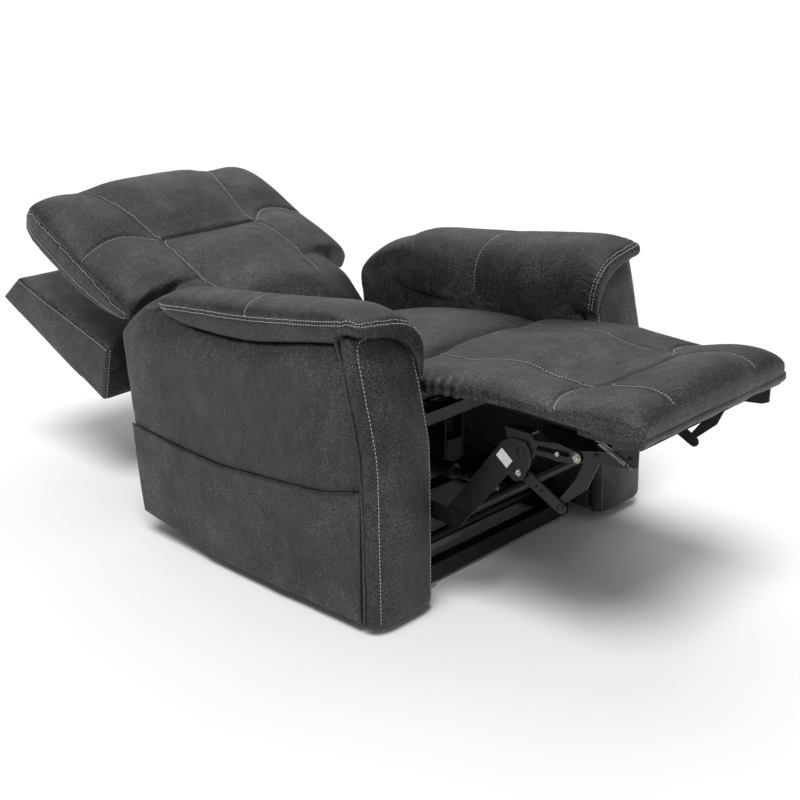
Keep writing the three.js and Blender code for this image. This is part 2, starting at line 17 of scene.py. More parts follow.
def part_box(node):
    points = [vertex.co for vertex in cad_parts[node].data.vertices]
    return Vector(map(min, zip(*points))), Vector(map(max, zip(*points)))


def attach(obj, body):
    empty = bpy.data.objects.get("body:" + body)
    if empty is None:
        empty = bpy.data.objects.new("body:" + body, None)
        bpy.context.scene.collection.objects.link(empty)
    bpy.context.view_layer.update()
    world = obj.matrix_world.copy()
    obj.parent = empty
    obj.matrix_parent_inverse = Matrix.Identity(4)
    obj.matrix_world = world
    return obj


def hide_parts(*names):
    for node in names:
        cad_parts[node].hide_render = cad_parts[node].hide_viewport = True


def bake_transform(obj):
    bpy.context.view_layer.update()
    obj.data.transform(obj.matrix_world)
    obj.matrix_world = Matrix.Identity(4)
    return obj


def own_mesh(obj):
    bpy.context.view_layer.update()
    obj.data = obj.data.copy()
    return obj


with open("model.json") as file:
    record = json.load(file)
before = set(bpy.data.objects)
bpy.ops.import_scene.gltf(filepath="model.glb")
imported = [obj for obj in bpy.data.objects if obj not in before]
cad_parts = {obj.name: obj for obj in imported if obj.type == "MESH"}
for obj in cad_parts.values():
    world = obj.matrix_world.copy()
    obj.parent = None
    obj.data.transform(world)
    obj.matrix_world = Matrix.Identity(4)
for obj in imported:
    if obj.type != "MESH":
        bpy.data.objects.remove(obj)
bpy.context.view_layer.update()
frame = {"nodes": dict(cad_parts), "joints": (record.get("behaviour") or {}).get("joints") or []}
NODES = frame["nodes"]
JOINTS = {joint["name"]: joint for joint in frame["joints"]}

# ---- Driving dimensions ---------------------------------------------------
MM = 0.001
SIDES = {"right": -1, "left": 1}
BACK_ANGLE = math.radians(25)

SEAM_STEP = 3 * MM
STITCH_PITCH = 7.6 * MM
STITCH_LENGTH = 5.4 * MM
STITCH_RADIUS = 0.75 * MM
STITCH_ROW = 5 * MM  # from a seam to the row of stitches beside it
GROOVE = 3.6 * MM
GROOVE_WIDTH = 4.8 * MM
SEAM_REACH = 60 * MM  # beyond this a seam doesn't move the leather
GATHER_PITCH = 13 * MM
GATHER_REACH = 22 * MM
WELT = 3.4 * MM
RING_STEP = 10 * MM  # between the rings of a padded form

PRESSURE = 4.0
FRAMES = 20
SOFT_CAP = 16 * MM


def mm(*values):
    """A point or a list of lengths given in millimetres."""
    return Vector(values) * MM


# ---- Camera, light and floor ----------------------------------------------
def add_camera():
    data = bpy.data.cameras.new("camera")
    data.lens = 61.33
    data.sensor_width = 36
    camera = bpy.data.objects.new("camera", data)
    azimuth = math.radians(-47.033)
    elevation = math.radians(19.74)
    level = math.cos(elevation)
    back = Vector((math.sin(azimuth) * level, -math.cos(azimuth) * level, math.sin(elevation)))
    camera.location = mm(-2065.66, -2046.36, 1290.24)
    camera.rotation_mode = "QUATERNION"
    camera.rotation_quaternion = (-back).to_track_quat("-Z", "Y")
    data.clip_end = 50
    bpy.context.scene.collection.objects.link(camera)
    bpy.context.scene.camera = camera


def add_sun(name, aim, strength, softness):
    """A broad soft light from far away; softness is its width in degrees."""
    data = bpy.data.lights.new(name, "SUN")
    data.energy = strength
    data.angle = math.radians(softness)
    light = bpy.data.objects.new(name, data)
    light.rotation_mode = "QUATERNION"
    light.rotation_quaternion = Vector(aim).to_track_quat("-Z", "Y")
    bpy.context.scene.collection.objects.link(light)


def add_studio():
    scene = bpy.context.scene
    scene.view_settings.view_transform = "Standard"
    world = bpy.data.worlds.new("studio")
    world.use_nodes = True
    backdrop = world.node_tree.nodes["Background"]
    backdrop.inputs["Color"].default_value = (1, 1, 1, 1)
    backdrop.inputs["Strength"].default_value = 0.29
    scene.world = world
    add_sun("key", (0.36, 0.18, -1), 2.3, 30)
    add_sun("sky", (-0.5, -0.55, -0.75), 0.8, 60)
    add_floor()


def add_floor():
    bpy.ops.mesh.primitive_plane_add(size=80, location=(0, 0, 0))
    floor = bpy.context.object
    floor.name = "floor"
    shader = Shader("floor_paper", Roughness=0.9)
    shader.bsdf.inputs["Base Color"].default_value = (0.95, 0.95, 0.95, 1)
    floor.data.materials.append(shader.material)


# ---- Materials --------------------------------------------------------------
class Shader:
    """A node material with a Principled surface."""

    def __init__(self, name, coordinates="Object", **sockets):
        self.material = bpy.data.materials.new(name)
        self.material.use_nodes = True
        self.tree = self.material.node_tree
        self.bsdf = self.tree.nodes["Principled BSDF"]
        for socket, value in sockets.items():
            self.bsdf.inputs[socket.replace("_", " ")].default_value = value
        if coordinates == "rest":
            place = self.tree.nodes.new("ShaderNodeAttribute")
            place.attribute_name = "rest"
            self.place = place.outputs["Vector"]
        else:
            self.place = self.tree.nodes.new("ShaderNodeTexCoord").outputs[coordinates]

    def link(self, output, socket):
        self.tree.links.new(output, self.bsdf.inputs[socket])

    def stretched(self, x, y, z):
        mapping = self.tree.nodes.new("ShaderNodeMapping")
        mapping.inputs["Scale"].default_value = (x, y, z)
        self.tree.links.new(self.place, mapping.inputs["Vector"])
        return mapping.outputs["Vector"]

    def noise(self, scale, detail=3, roughness=0.55, distortion=0.0, place=None):
        node = self.tree.nodes.new("ShaderNodeTexNoise")
        node.inputs["Scale"].default_value = scale
        node.inputs["Detail"].default_value = detail
        node.inputs["Roughness"].default_value = roughness
        node.inputs["Distortion"].default_value = distortion
        self.tree.links.new(place or self.place, node.inputs["Vector"])
        return node.outputs["Fac"]

    def cells(self, scale, feature="F1", place=None):
        node = self.tree.nodes.new("ShaderNodeTexVoronoi")
        node.feature = feature
        node.inputs["Scale"].default_value = scale
        self.tree.links.new(place or self.place, node.inputs["Vector"])
        return node.outputs["Distance"]

    def wave(self, scale, direction="X", place=None):
        node = self.tree.nodes.new("ShaderNodeTexWave")
        node.bands_direction = direction
        node.inputs["Scale"].default_value = scale
        self.tree.links.new(place or self.place, node.inputs["Vector"])
        return node.outputs["Fac"]

    def ramp(self, factor, *stops):
        node = self.tree.nodes.new("ShaderNodeValToRGB")
        ramp = node.color_ramp
        while len(ramp.elements) < len(stops):
            ramp.elements.new(0.5)
        for element, (position, colour) in zip(ramp.elements, stops):
            element.position = position
            element.color = (*colour, 1) if hasattr(colour, "__len__") else (colour,) * 3 + (1,)
        self.tree.links.new(factor, node.inputs["Fac"])
        return node.outputs["Color"]

    def mix(self, factor, a, b, blend="MIX"):
        node = self.tree.nodes.new("ShaderNodeMix")
        node.data_type = "RGBA"
        node.blend_type = blend
        for value, socket in ((factor, 0), (a, 6), (b, 7)):
            if isinstance(value, bpy.types.NodeSocket):
                self.tree.links.new(value, node.inputs[socket])
            elif socket:
                node.inputs[socket].default_value = (*value, 1)
            else:
                node.inputs[socket].default_value = value
        return node.outputs[2]

    def remap(self, value, low, high, from_low=0.3, from_high=0.7):
        node = self.tree.nodes.new("ShaderNodeMapRange")
        node.inputs["From Min"].default_value = from_low
        node.inputs["From Max"].default_value = from_high
        node.inputs["To Min"].default_value = low
        node.inputs["To Max"].default_value = high
        self.tree.links.new(value, node.inputs["Value"])
        return node.outputs["Result"]

    def bump(self, height, distance, strength=1.0, under=None):
        node = self.tree.nodes.new("ShaderNodeBump")
        node.inputs["Distance"].default_value = distance
        node.inputs["Strength"].default_value = strength
        self.tree.links.new(height, node.inputs["Height"])
        if under is not None:
            self.tree.links.new(under, node.inputs["Normal"])
        return node.outputs["Normal"]


def leather(name="suede_leather", lightness=1.0):
    """Distressed charcoal suede-look leather: cloudy tone, rub marks, fine specks and pebble grain."""
    shader = Shader(
        name, "rest", Specular_IOR_Level=0.42, Sheen_Weight=0.04, Sheen_Roughness=0.4
    )
    dark, middle, light = (
        tuple(c * lightness for c in tone)
        for tone in ((0.0096, 0.0086, 0.0083), (0.0205, 0.0186, 0.018), (0.046, 0.0425, 0.0412))
    )
    brown = tuple(c * lightness for c in (0.03, 0.0242, 0.0208))
    clouds = shader.noise(6.5, 5, 0.6, 0.5)
    patches = shader.noise(24, 4, 0.6, 0.3)
    streaks = shader.noise(70, 3, 0.6, 0.2, shader.stretched(1, 1, 0.45))
    specks = shader.noise(330, 3, 0.7)
    colour = shader.ramp(clouds, (0.34, dark), (0.5, middle), (0.68, light))
    colour = shader.mix(shader.ramp(patches, (0.5, 0.0), (0.75, 0.55)), colour, brown)
    colour = shader.mix(shader.ramp(streaks, (0.46, 0.0), (0.78, 0.6)), colour, light)
    tone = shader.ramp(specks, (0.39, 0.1), (0.5, 0.85), (0.61, 2.8))
    colour = shader.mix(0.9, colour, tone, "MULTIPLY")
    shader.link(colour, "Base Color")
    shader.link(shader.remap(patches, 0.44, 0.6), "Roughness")
    pebbles = shader.bump(shader.cells(480), 0.0005, 0.8)
    creases = shader.bump(shader.noise(120, 4, 0.65), 0.0012, 0.4, pebbles)
    shader.link(creases, "Normal")
    return shader.material


def thread(name, dark, light):
    """Waxed thread with a twist."""
    shader = Shader(name, "rest", Roughness=0.7, Sheen_Weight=0.2)
    fuzz = shader.noise(900, 3)
    tone = shader.ramp(fuzz, (0.3, dark), (0.7, light))
    shader.link(tone, "Base Color")
    twist = shader.wave(420, "DIAGONAL")
    shader.link(shader.bump(twist, 0.0003, 0.7), "Normal")
    return shader.material


def dust_cover(name, place):
    """Black non-woven cloth, with its pressed dots."""
    shader = Shader(name, place, Roughness=0.92, Specular_IOR_Level=0.2)
    felt = shader.noise(260, 4, 0.7)
    tone = shader.ramp(felt, (0.3, (0.003, 0.003, 0.0032)), (0.7, (0.011, 0.011, 0.0115)))
    shader.link(tone, "Base Color")
    dots = shader.bump(shader.cells(420), 0.0004, 0.6)
    shader.link(shader.bump(felt, 0.0004, 0.5, dots), "Normal")
    return shader.material


def painted_steel(name, dark, light, roughness):
    """Satin powder coat with orange peel and slight dust."""
    shader = Shader(name, Metallic=0.15, Specular_IOR_Level=0.4)
    dust = shader.noise(34, 5, 0.65, 0.2)
    shader.link(shader.ramp(dust, (0.35, dark), (0.72, light)), "Base Color")
    shader.link(shader.remap(dust, roughness - 0.07, roughness + 0.12), "Roughness")
    peel = shader.noise(520, 2)
    shader.link(shader.bump(peel, 0.00025, 0.5), "Normal")
    return shader.material


def zinc_plate():
    """Bright zinc with a faint passivated tint and brushed marks."""
    shader = Shader("zinc_plate", Metallic=1.0)
    haze = shader.noise(90, 4, 0.6)
    tone = shader.ramp(haze, (0.3, (0.3, 0.31, 0.32)), (0.7, (0.55, 0.55, 0.54)))
    shader.link(tone, "Base Color")
    shader.link(shader.remap(haze, 0.22, 0.4), "Roughness")
    brushed = shader.noise(700, 2, 0.5, 0.0, shader.stretched(1, 0.08, 0.08))
    shader.link(shader.bump(brushed, 0.0001, 0.4), "Normal")
    return shader.material


def copper_washer():
    """A passivated washer, copper with a green cast."""
    shader = Shader("copper_washer", Metallic=1.0, Roughness=0.38)
    patina = shader.noise(220, 4, 0.6)
    tone = shader.ramp(patina, (0.38, (0.16, 0.33, 0.3)), (0.62, (0.58, 0.29, 0.17)))
    shader.link(tone, "Base Color")
    shader.link(shader.bump(patina, 0.0001, 0.4), "Normal")
    return shader.material


def moulded_plastic(name, dark, light, roughness=0.5):
    """Moulded housing with fine spark-eroded texture."""
    shader = Shader(name, Specular_IOR_Level=0.45)
    flow = shader.noise(18, 3)
    shader.link(shader.ramp(flow, (0.35, dark), (0.65, light)), "Base Color")
    shader.link(shader.remap(flow, roughness - 0.05, roughness + 0.1), "Roughness")
    sparks = shader.noise(1400, 2)
    shader.link(shader.bump(sparks, 0.0002, 0.5), "Normal")
    return shader.material


add_camera()
add_studio()

LEATHER = leather()
THREAD = thread("pale_thread", (0.42, 0.4, 0.36), (0.66, 0.63, 0.58))
DARK_THREAD = thread("dark_thread", (0.03, 0.028, 0.026), (0.07, 0.066, 0.06))
DUST_COVER = dust_cover("dust_cover", "rest")
BOARD_CLOTH = dust_cover("board_cloth", "Object")
FRAME_PAINT = painted_steel("frame_paint", (0.006, 0.0063, 0.0066), (0.017, 0.0177, 0.018), 0.4)
BASE_PAINT = painted_steel("base_paint", (0.0025, 0.0025, 0.0027), (0.008, 0.008, 0.0085), 0.3)
ZINC = zinc_plate()
COPPER = copper_washer()
HOUSING = moulded_plastic("motor_plastic", (0.006, 0.009, 0.011), (0.012, 0.017, 0.02))
LABEL = moulded_plastic("label_film", (0.62, 0.62, 0.6), (0.72, 0.72, 0.7), 0.35)
GLIDE = moulded_plastic("glide_plastic", (0.3, 0.27, 0.22), (0.4, 0.37, 0.31), 0.45)


# ---- Meshes -------------------------------------------------------------------
def new_object(name, points, faces, material):
    mesh = bpy.data.meshes.new(name)
    mesh.from_pydata([tuple(p) for p in points], [], faces)
    mesh.update()
    piece = bpy.data.objects.new(name, mesh)
    bpy.context.scene.collection.objects.link(piece)
    mesh.materials.append(material)
    mesh.polygons.foreach_set("use_smooth", [True] * len(mesh.polygons))
    return piece


def face_outwards(piece):
    made = bmesh.new()
    made.from_mesh(piece.data)
    bmesh.ops.recalc_face_normals(made, faces=made.faces)
    made.to_mesh(piece.data)
    made.free()


def coordinates(piece):
    flat = np.zeros(len(piece.data.vertices) * 3, np.float32)
    piece.data.vertices.foreach_get("co", flat)
    return flat.reshape(-1, 3).astype(float)


def normals(piece):
    flat = np.zeros(len(piece.data.vertices) * 3, np.float32)
    piece.data.vertex_normals.foreach_get("vector", flat)
    return flat.reshape(-1, 3).astype(float)


def set_coordinates(piece, points):
    piece.data.vertices.foreach_set("co", points.astype(np.float32).ravel())
    piece.data.update()


def apply_modifiers(piece):
    """Swaps a piece's mesh for what its modifiers make of it."""
    graph = bpy.context.evaluated_depsgraph_get()
    made = bpy.data.meshes.new_from_object(piece.evaluated_get(graph), depsgraph=graph)
    old = piece.data
    piece.modifiers.clear()
    piece.data = made
    bpy.data.meshes.remove(old)
    made.polygons.foreach_set("use_smooth", [True] * len(made.polygons))


def remesh(piece, size):
    step = piece.modifiers.new("remesh", "REMESH")
    step.mode = "VOXEL"
    step.voxel_size = size
    apply_modifiers(piece)


def subdivide(piece):
    step = piece.modifiers.new("subdivide", "SUBSURF")
    step.levels = 1
    step.render_levels = 1
    apply_modifiers(piece)


def smooth(piece, factor, repeats):
    step = piece.modifiers.new("smooth", "SMOOTH")
    step.factor = factor
    step.iterations = repeats
    apply_modifiers(piece)


def join(pieces):
    """Joins pieces into the first one."""
    bpy.ops.object.select_all(action="DESELECT")
    for piece in pieces:
        piece.select_set(True)
    bpy.context.view_layer.objects.active = pieces[0]
    bpy.ops.object.join()
    return pieces[0]


def keep_rest(piece):
    """Stores where each vertex is at rest, for materials that must not slide as the piece bends."""
    attribute = piece.data.attributes.new("rest", "FLOAT_VECTOR", "POINT")
    attribute.data.foreach_set("vector", coordinates(piece).astype(np.float32).ravel())


def mirrored(piece, name):
    """The other side's copy of a piece."""
    twin = bpy.data.objects.new(name, piece.data.copy())
    bpy.context.scene.collection.objects.link(twin)
    set_coordinates(twin, coordinates(twin) * np.array([-1, 1, 1]))
    twin.data.flip_normals()
    return twin


def loft(name, rings, material):
    """A closed body through rings with the same count of points."""
    count = len(rings[0])
    faces = [tuple(range(count)), tuple(range((len(rings) - 1) * count, len(rings) * count))]
    for r in range(len(rings) - 1):
        for i in range(count):
            a = r * count + i
            b = r * count + (i + 1) % count
            faces.append((a, b, b + count, a + count))
    piece = new_object(name, [p for ring in rings for p in ring], faces, material)
    face_outwards(piece)
    return piece


def sheet(name, front, behind, columns, rows, material):
    """A thin closed body between two grids of points, listed column by column."""
    count = (columns + 1) * (rows + 1)
    faces = []
    for i in range(columns):
        for k in range(rows):
            a = i * (rows + 1) + k
            quad = (a, a + 1, a + rows + 2, a + rows + 1)
            faces.append(quad)
            faces.append(tuple(count + q for q in reversed(quad)))
    rim = [i * (rows + 1) for i in range(columns + 1)]
    rim += [columns * (rows + 1) + k for k in range(1, rows + 1)]
    rim += [i * (rows + 1) + rows for i in range(columns - 1, -1, -1)]
    rim += [k for k in range(rows - 1, 0, -1)]
    for a, b in zip(rim, [*rim[1:], rim[0]]):
        faces.append((a, b, count + b, count + a))
    piece = new_object(name, [*front, *behind], faces, material)
    face_outwards(piece)
    return piece


# ---- Lines on a surface -------------------------------------------------------
def resample(points, step):
    """Points evenly spaced along a polyline."""
    line = np.array([tuple(p) for p in points], float)
    length = np.concatenate([[0], np.cumsum(np.linalg.norm(np.diff(line, axis=0), axis=1))])
    count = max(2, int(round(length[-1] / step)) + 1)
    where = np.linspace(0, length[-1], count)
    return [Vector([np.interp(s, length, line[:, k]) for k in range(3)]) for s in where]


def spline(points, step=SEAM_STEP):
    """Points evenly spaced on a smooth curve through the given ones."""
    knots = [points[0] * 2 - points[1], *points, points[-1] * 2 - points[-2]]
    dense = []
    for a, b, c, d in zip(knots, knots[1:], knots[2:], knots[3:]):
        for i in range(12):
            t = i / 12
            dense.append(
                0.5
                * (2 * b + (c - a) * t + (2 * a - 5 * b + 4 * c - d) * t**2
                   + (3 * b - a - 3 * c + d) * t**3)
            )
    return resample([*dense, points[-1]], step)


class Seam:
    """A sewn line: its course, how deep it is pressed, its rows of stitches and its gathers."""

    def __init__(self, points, groove=GROOVE, rows=(STITCH_ROW,), gather=0.0):
        self.points = spline(points)
        self.groove = groove
        self.rows = rows
        self.gather = gather

    def twin(self):
        """The same seam on the other side of the chair."""
        other = Seam.__new__(Seam)
        other.points = [Vector((-p.x, p.y, p.z)) for p in self.points]
        other.groove = self.groove
        other.rows = tuple(-row for row in self.rows)
        other.gather = self.gather
        return other


def both(seams):
    return [*seams, *(seam.twin() for seam in seams)]


def tree_of(seams):
    points = [p for seam in seams for p in seam.points]
    tree = KDTree(len(points))
    for i, p in enumerate(points):
        tree.insert(p, i)
    tree.balance()
    return tree


def surface_of(piece):
    polygons = [tuple(p.vertices) for p in piece.data.polygons]
    return BVHTree.FromPolygons([v.co for v in piece.data.vertices], polygons)


def row_beside(surface, points, offset):
    """A line on the surface, beside the given line."""
    laid = []
    for i, point in enumerate(points):
        ahead = points[min(i + 1, len(points) - 1)] - points[max(i - 1, 0)]
        spot, normal, _, _ = surface.find_nearest(point)
        side = ahead.normalized().cross(normal)
        laid.append(surface.find_nearest(spot + side * offset)[0])
    return laid


STITCH_SECTIONS = ((-0.5, 0.45, -0.5), (-0.28, 1.0, 0.25), (0.28, 1.0, 0.25), (0.5, 0.45, -0.5))


def stitch_mesh(centre, along, normal, points, faces):
    """One thread bridge: a short rounded bar whose ends dip into the leather."""
    side = along.cross(normal).normalized()
    start = len(points)
    for reach, girth, rise in STITCH_SECTIONS:
        middle = centre + along * reach * STITCH_LENGTH + normal * rise * STITCH_RADIUS
        for i in range(6):
            angle = i * math.pi / 3
            out = side * math.cos(angle) + normal * math.sin(angle)
            points.append(middle + out * STITCH_RADIUS * girth)
    for r in range(len(STITCH_SECTIONS) - 1):
        for i in range(6):
            a = start + r * 6 + i
            b = start + r * 6 + (i + 1) % 6
            faces.append((a, b, b + 6, a + 6))
    faces.append(tuple(start + i for i in range(5, -1, -1)))
    last = start + 6 * (len(STITCH_SECTIONS) - 1)
    faces.append(tuple(last + i for i in range(6)))


def sew(name, piece, seams, material=THREAD):
    """All the stitches of a piece as one mesh."""
    surface = surface_of(piece)
    points, faces = [], []
    for seam in seams:
        for offset in seam.rows:
            line = resample(row_beside(surface, seam.points, offset), STITCH_PITCH)
            for a, b in zip(line, line[1:]):
                spot, normal, _, _ = surface.find_nearest((a + b) / 2)
                along = (b - a).normalized()
                along = (along - normal * along.dot(normal)).normalized()
                stitch_mesh(spot, along, normal, points, faces)
    made = new_object(name, points, faces, material)
    face_outwards(made)
    return made


def tube(name, points, radius, material, sides=8):
    """A round cord along a line, closed at its ends."""
    rings = []
    up = Vector((0, 0, 1))
    for i, point in enumerate(points):
        ahead = (points[min(i + 1, len(points) - 1)] - points[max(i - 1, 0)]).normalized()
        side = ahead.cross(up)
        if side.length < 0.1:
            side = ahead.cross(Vector((1, 0, 0)))
        side.normalize()
        up = side.cross(ahead).normalized()
        turn = [2 * math.pi * k / sides for k in range(sides)]
        rings.append([point + (side * math.cos(a) + up * math.sin(a)) * radius for a in turn])
    return loft(name, rings, material)


# ---- Padded forms ---------------------------------------------------------------
def ease(xs, ys, x):
    """A smooth curve through given values, without overshoot at the ends."""
    i = int(np.clip(np.searchsorted(xs, x) - 1, 0, len(xs) - 2))
    span = xs[i + 1] - xs[i]
    t = float(np.clip((x - xs[i]) / span, 0, 1))
    slopes = []
    for k in (i, i + 1):
        lo, hi = max(k - 1, 0), min(k + 1, len(xs) - 1)
        slopes.append((ys[hi] - ys[lo]) / (xs[hi] - xs[lo]))
    a, b = ys[i], ys[i + 1]
    return (
        a * (2 * t**3 - 3 * t**2 + 1)
        + b * (3 * t**2 - 2 * t**3)
        + span * (slopes[0] * (t**3 - 2 * t**2 + t) + slopes[1] * (t**3 - t**2))
    )


class Pad:
    """A cushion's form, from the rings of its CAD solid: crowned above, boxed at the sides."""

    CROWN = 3.0
    TUCK = 0.012
    SHARES = [math.cos(math.pi * i / 30) for i in range(31)]

    def __init__(self, nodes, to_local=None, puff=0.0, spread=0.05, drop=0.0):
        points = []
        for node in nodes:
            points += [v.co.copy() for v in NODES[node].data.vertices]
        if to_local is not None:
            points = [to_local @ p for p in points]
        rings = []
        for p in sorted(points, key=lambda p: p.y):
            if not rings or p.y - rings[-1][0].y > 2 * MM:
                rings.append([])
            rings[-1].append(p)
        self.ys = np.array([ring[0].y for ring in rings])
        left = np.array([min(p.x for p in ring) for ring in rings])
        right = np.array([max(p.x for p in ring) for ring in rings])
        self.centres = (left + right) / 2
        self.halves = (right - left) / 2
        self.bottoms = np.array([min(p.z for p in ring) for ring in rings]) - drop
        self.edges = np.array([max(ring, key=lambda p: p.x).z for ring in rings])
        self.tops = np.array([max(p.z for p in ring) for ring in rings])
        self.puff = puff
        self.spread = spread
        self.plan = None
        self.lifts = []
        self.profile = (self.ys, self.tops)

    def at(self, y):
        values = (self.centres, self.halves, self.bottoms, self.edges)
        return [*(ease(self.ys, v, y) for v in values), ease(*self.profile, y)]

    def share_profile(self, other):
        """Gives two pads that meet end to end one height along their middle."""
        ys = np.concatenate([self.ys[:-1], other.ys[1:]])
        tops = np.concatenate([self.tops[:-1], other.tops[1:]])
        self.profile = other.profile = (ys, tops)

    def sewn(self, lines):
        """Remembers seams as lines in plan, between which the form puffs up."""
        self.plan = np.array([(p.x, p.y) for line in lines for p in spline(line)])

    def crown(self, x, y):
        centre, half, _, edge, top = self.at(y)
        share = min(abs(x - centre) / half, 1.0)
        rise = (1 - share**self.CROWN) ** 0.5
        height = edge + (top - edge) * rise
        if self.plan is not None:
            gap = np.min(np.hypot(self.plan[:, 0] - x, self.plan[:, 1] - y))
            height += self.puff * rise * (1 - math.exp(-((gap / self.spread) ** 2)))
        for cx, cy, rx, ry, lift in self.lifts:
            away = ((x - cx) / rx) ** 2 + ((y - cy) / ry) ** 2
            height += lift * rise * math.exp(-away)
        return height

    def on_top(self, points):
        """Points given in plan, in millimetres, laid on the crown."""
        laid = [Vector((x * MM, y * MM, 0)) for x, y in points]
        return [Vector((p.x, p.y, self.crown(p.x, p.y))) for p in laid]

    def ring(self, y):
        centre, half, bottom, edge, _ = self.at(y)
        over = [(centre + half * s, self.crown(centre + half * s, y)) for s in self.SHARES]
        drop = edge - bottom
        tuck = self.TUCK * half
        under = [
            (-half + tuck * 0.3, edge - 0.5 * drop),
            (-half + tuck, bottom),
            (-half * 0.5, bottom),
            (half * 0.5, bottom),
            (half - tuck, bottom),
            (half - tuck * 0.3, edge - 0.5 * drop),
        ]
        return [(x, y, z) for x, z in over] + [(centre + x, y, z) for x, z in under]

    def body(self, name, end=None):
        start = self.ys[0]
        end = self.ys[-1] if end is None else end
        count = int(abs(end - start) / RING_STEP) + 2
        return loft(name, [self.ring(y) for y in np.linspace(start, end, count)], LEATHER)


class Cushion:
    """A soft piece on its way from a plain form to a sewn one."""

    def __init__(
        self, name, piece, seams, voxel=6 * MM, cap=SOFT_CAP, pinned=None, softening=4, folds=None
    ):
        self.name = name
        self.piece = piece
        self.seams = seams
        self.cap = cap
        self.folds = folds
        remesh(piece, voxel)
        smooth(piece, 0.5, softening)
        piece.name = name
        self.start = coordinates(piece)
        self.pin(pinned, voxel)

    def pin(self, pinned, voxel):
        """Holds the seams, and what pinned says of a point, while the rest swells."""
        group = self.piece.vertex_groups.new(name="pin")
        tree = tree_of(self.seams) if self.seams else None
        for i, point in enumerate(self.start):
            held = pinned is not None and pinned(point)
            if not held and tree is not None:
                held = tree.find(point)[2] < 1.1 * voxel
            if held:
                group.add([i], 1.0, "REPLACE")

    def add_cloth(self):
        cloth = self.piece.modifiers.new("cloth", "CLOTH")
        settings = cloth.settings
        settings.quality = 4
        settings.mass = 0.3
        settings.use_pressure = True
        settings.uniform_pressure_force = PRESSURE
        settings.effector_weights.gravity = 0
        settings.vertex_group_mass = "pin"
        settings.bending_stiffness = 0.8
        cloth.point_cache.frame_start = 1
        cloth.point_cache.frame_end = FRAMES + 1

    def settle(self):
        """Keeps the simulated form, with each point's move eased towards the cap."""
        apply_modifiers(self.piece)
        move = coordinates(self.piece) - self.start
        length = np.linalg.norm(move, axis=1, keepdims=True) + 1e-9
        eased = self.cap * np.tanh(length / self.cap)
        set_coordinates(self.piece, self.start + move / length * eased)
        smooth(self.piece, 0.5, 2)

    def press_seams(self, unevenness=0.8 * MM):
        """Presses each seam into the fine mesh, and adds gathers and slight unevenness."""
        subdivide(self.piece)
        points = coordinates(self.piece)
        outwards = normals(self.piece)
        facts = [
            (seam.groove, seam.gather, i * SEAM_STEP)
            for seam in self.seams
            for i in range(len(seam.points))
        ]
        tree = tree_of(self.seams) if self.seams else None
        shift = np.zeros(len(points))
        for i, point in enumerate(points):
            shift[i] = unevenness * (
                noise.noise(Vector(point) * 9) + 0.5 * noise.noise(Vector(point) * 27)
            )
            if self.folds is not None:
                shift[i] += self.folds(point)
            if tree is None:
                continue
            _, index, gap = tree.find(point)
            if gap > SEAM_REACH:
                continue
            groove, gather, along = facts[index]
            shift[i] -= groove * math.exp(-((gap / GROOVE_WIDTH) ** 2))
            if gather:
                phase = 2 * math.pi * along / GATHER_PITCH + 3 * noise.noise(Vector(point) * 14)
                shift[i] += gather * math.sin(phase) * math.exp(-gap / GATHER_REACH)
        set_coordinates(self.piece, points + outwards * shift[:, None])

    def finish(self):
        self.press_seams()
        self.piece.vertex_groups.clear()
        keep_rest(self.piece)
        self.stitches = sew(self.name + "_stitches", self.piece, self.seams)
        keep_rest(self.stitches)


def simulate(cushions):
    """Swells all cushions together as pressurised cloth."""
    for cushion in cushions:
        cushion.add_cloth()
    for step in range(1, FRAMES + 1):
        bpy.context.scene.frame_set(step)
    for cushion in cushions:
        cushion.settle()
    bpy.context.scene.frame_set(1)


def dress(piece, body, *nodes, slot="upholstery"):
    """Rides a piece on a body in place of CAD nodes."""
    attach(piece, body)
    if nodes:
        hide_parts(*nodes)
    return piece


# ---- Back ------------------------------------------------------------------------
def back_frame_matrix():
    hinge = Vector(JOINTS["back_recline"]["pos_m"])
    return Matrix.Translation(hinge) @ Matrix.Rotation(BACK_ANGLE, 4, "X")


BACK_TO_WORLD = back_frame_matrix()
WORLD_TO_BACK = BACK_TO_WORLD.inverted()

# Seams of the back as [x, along], in millimetres, on the positive side
HEAD_CURVE = [(205, 762), (198, 735), (182, 690), (168, 640), (156, 585), (150, 535), (148, 488)]
SHOULDER_CURVE = [
    (148, 488), (168, 506), (190, 524), (225, 537), (265, 537), (305, 528), (348, 514)
]
WAIST_CURVE = [(140, 482), (152, 468), (158, 440), (160, 400), (162, 350), (160, 300), (150, 240)]
MID_LINE = [(-148, 487), (-80, 483), (0, 480), (80, 483), (148, 487)]
# The back's underside towards its head, as [along] and [height], in metres
HEAD_UNDERSIDE = ((0.323, 0.35, 0.43, 0.52, 0.774), (0.02, 0.014, -0.01, -0.022, -0.02))


def plan(points):
    return [Vector((x * MM, y * MM, 0)) for x, y in points]


def mirror_plan(points):
    return [(-x, y) for x, y in points]


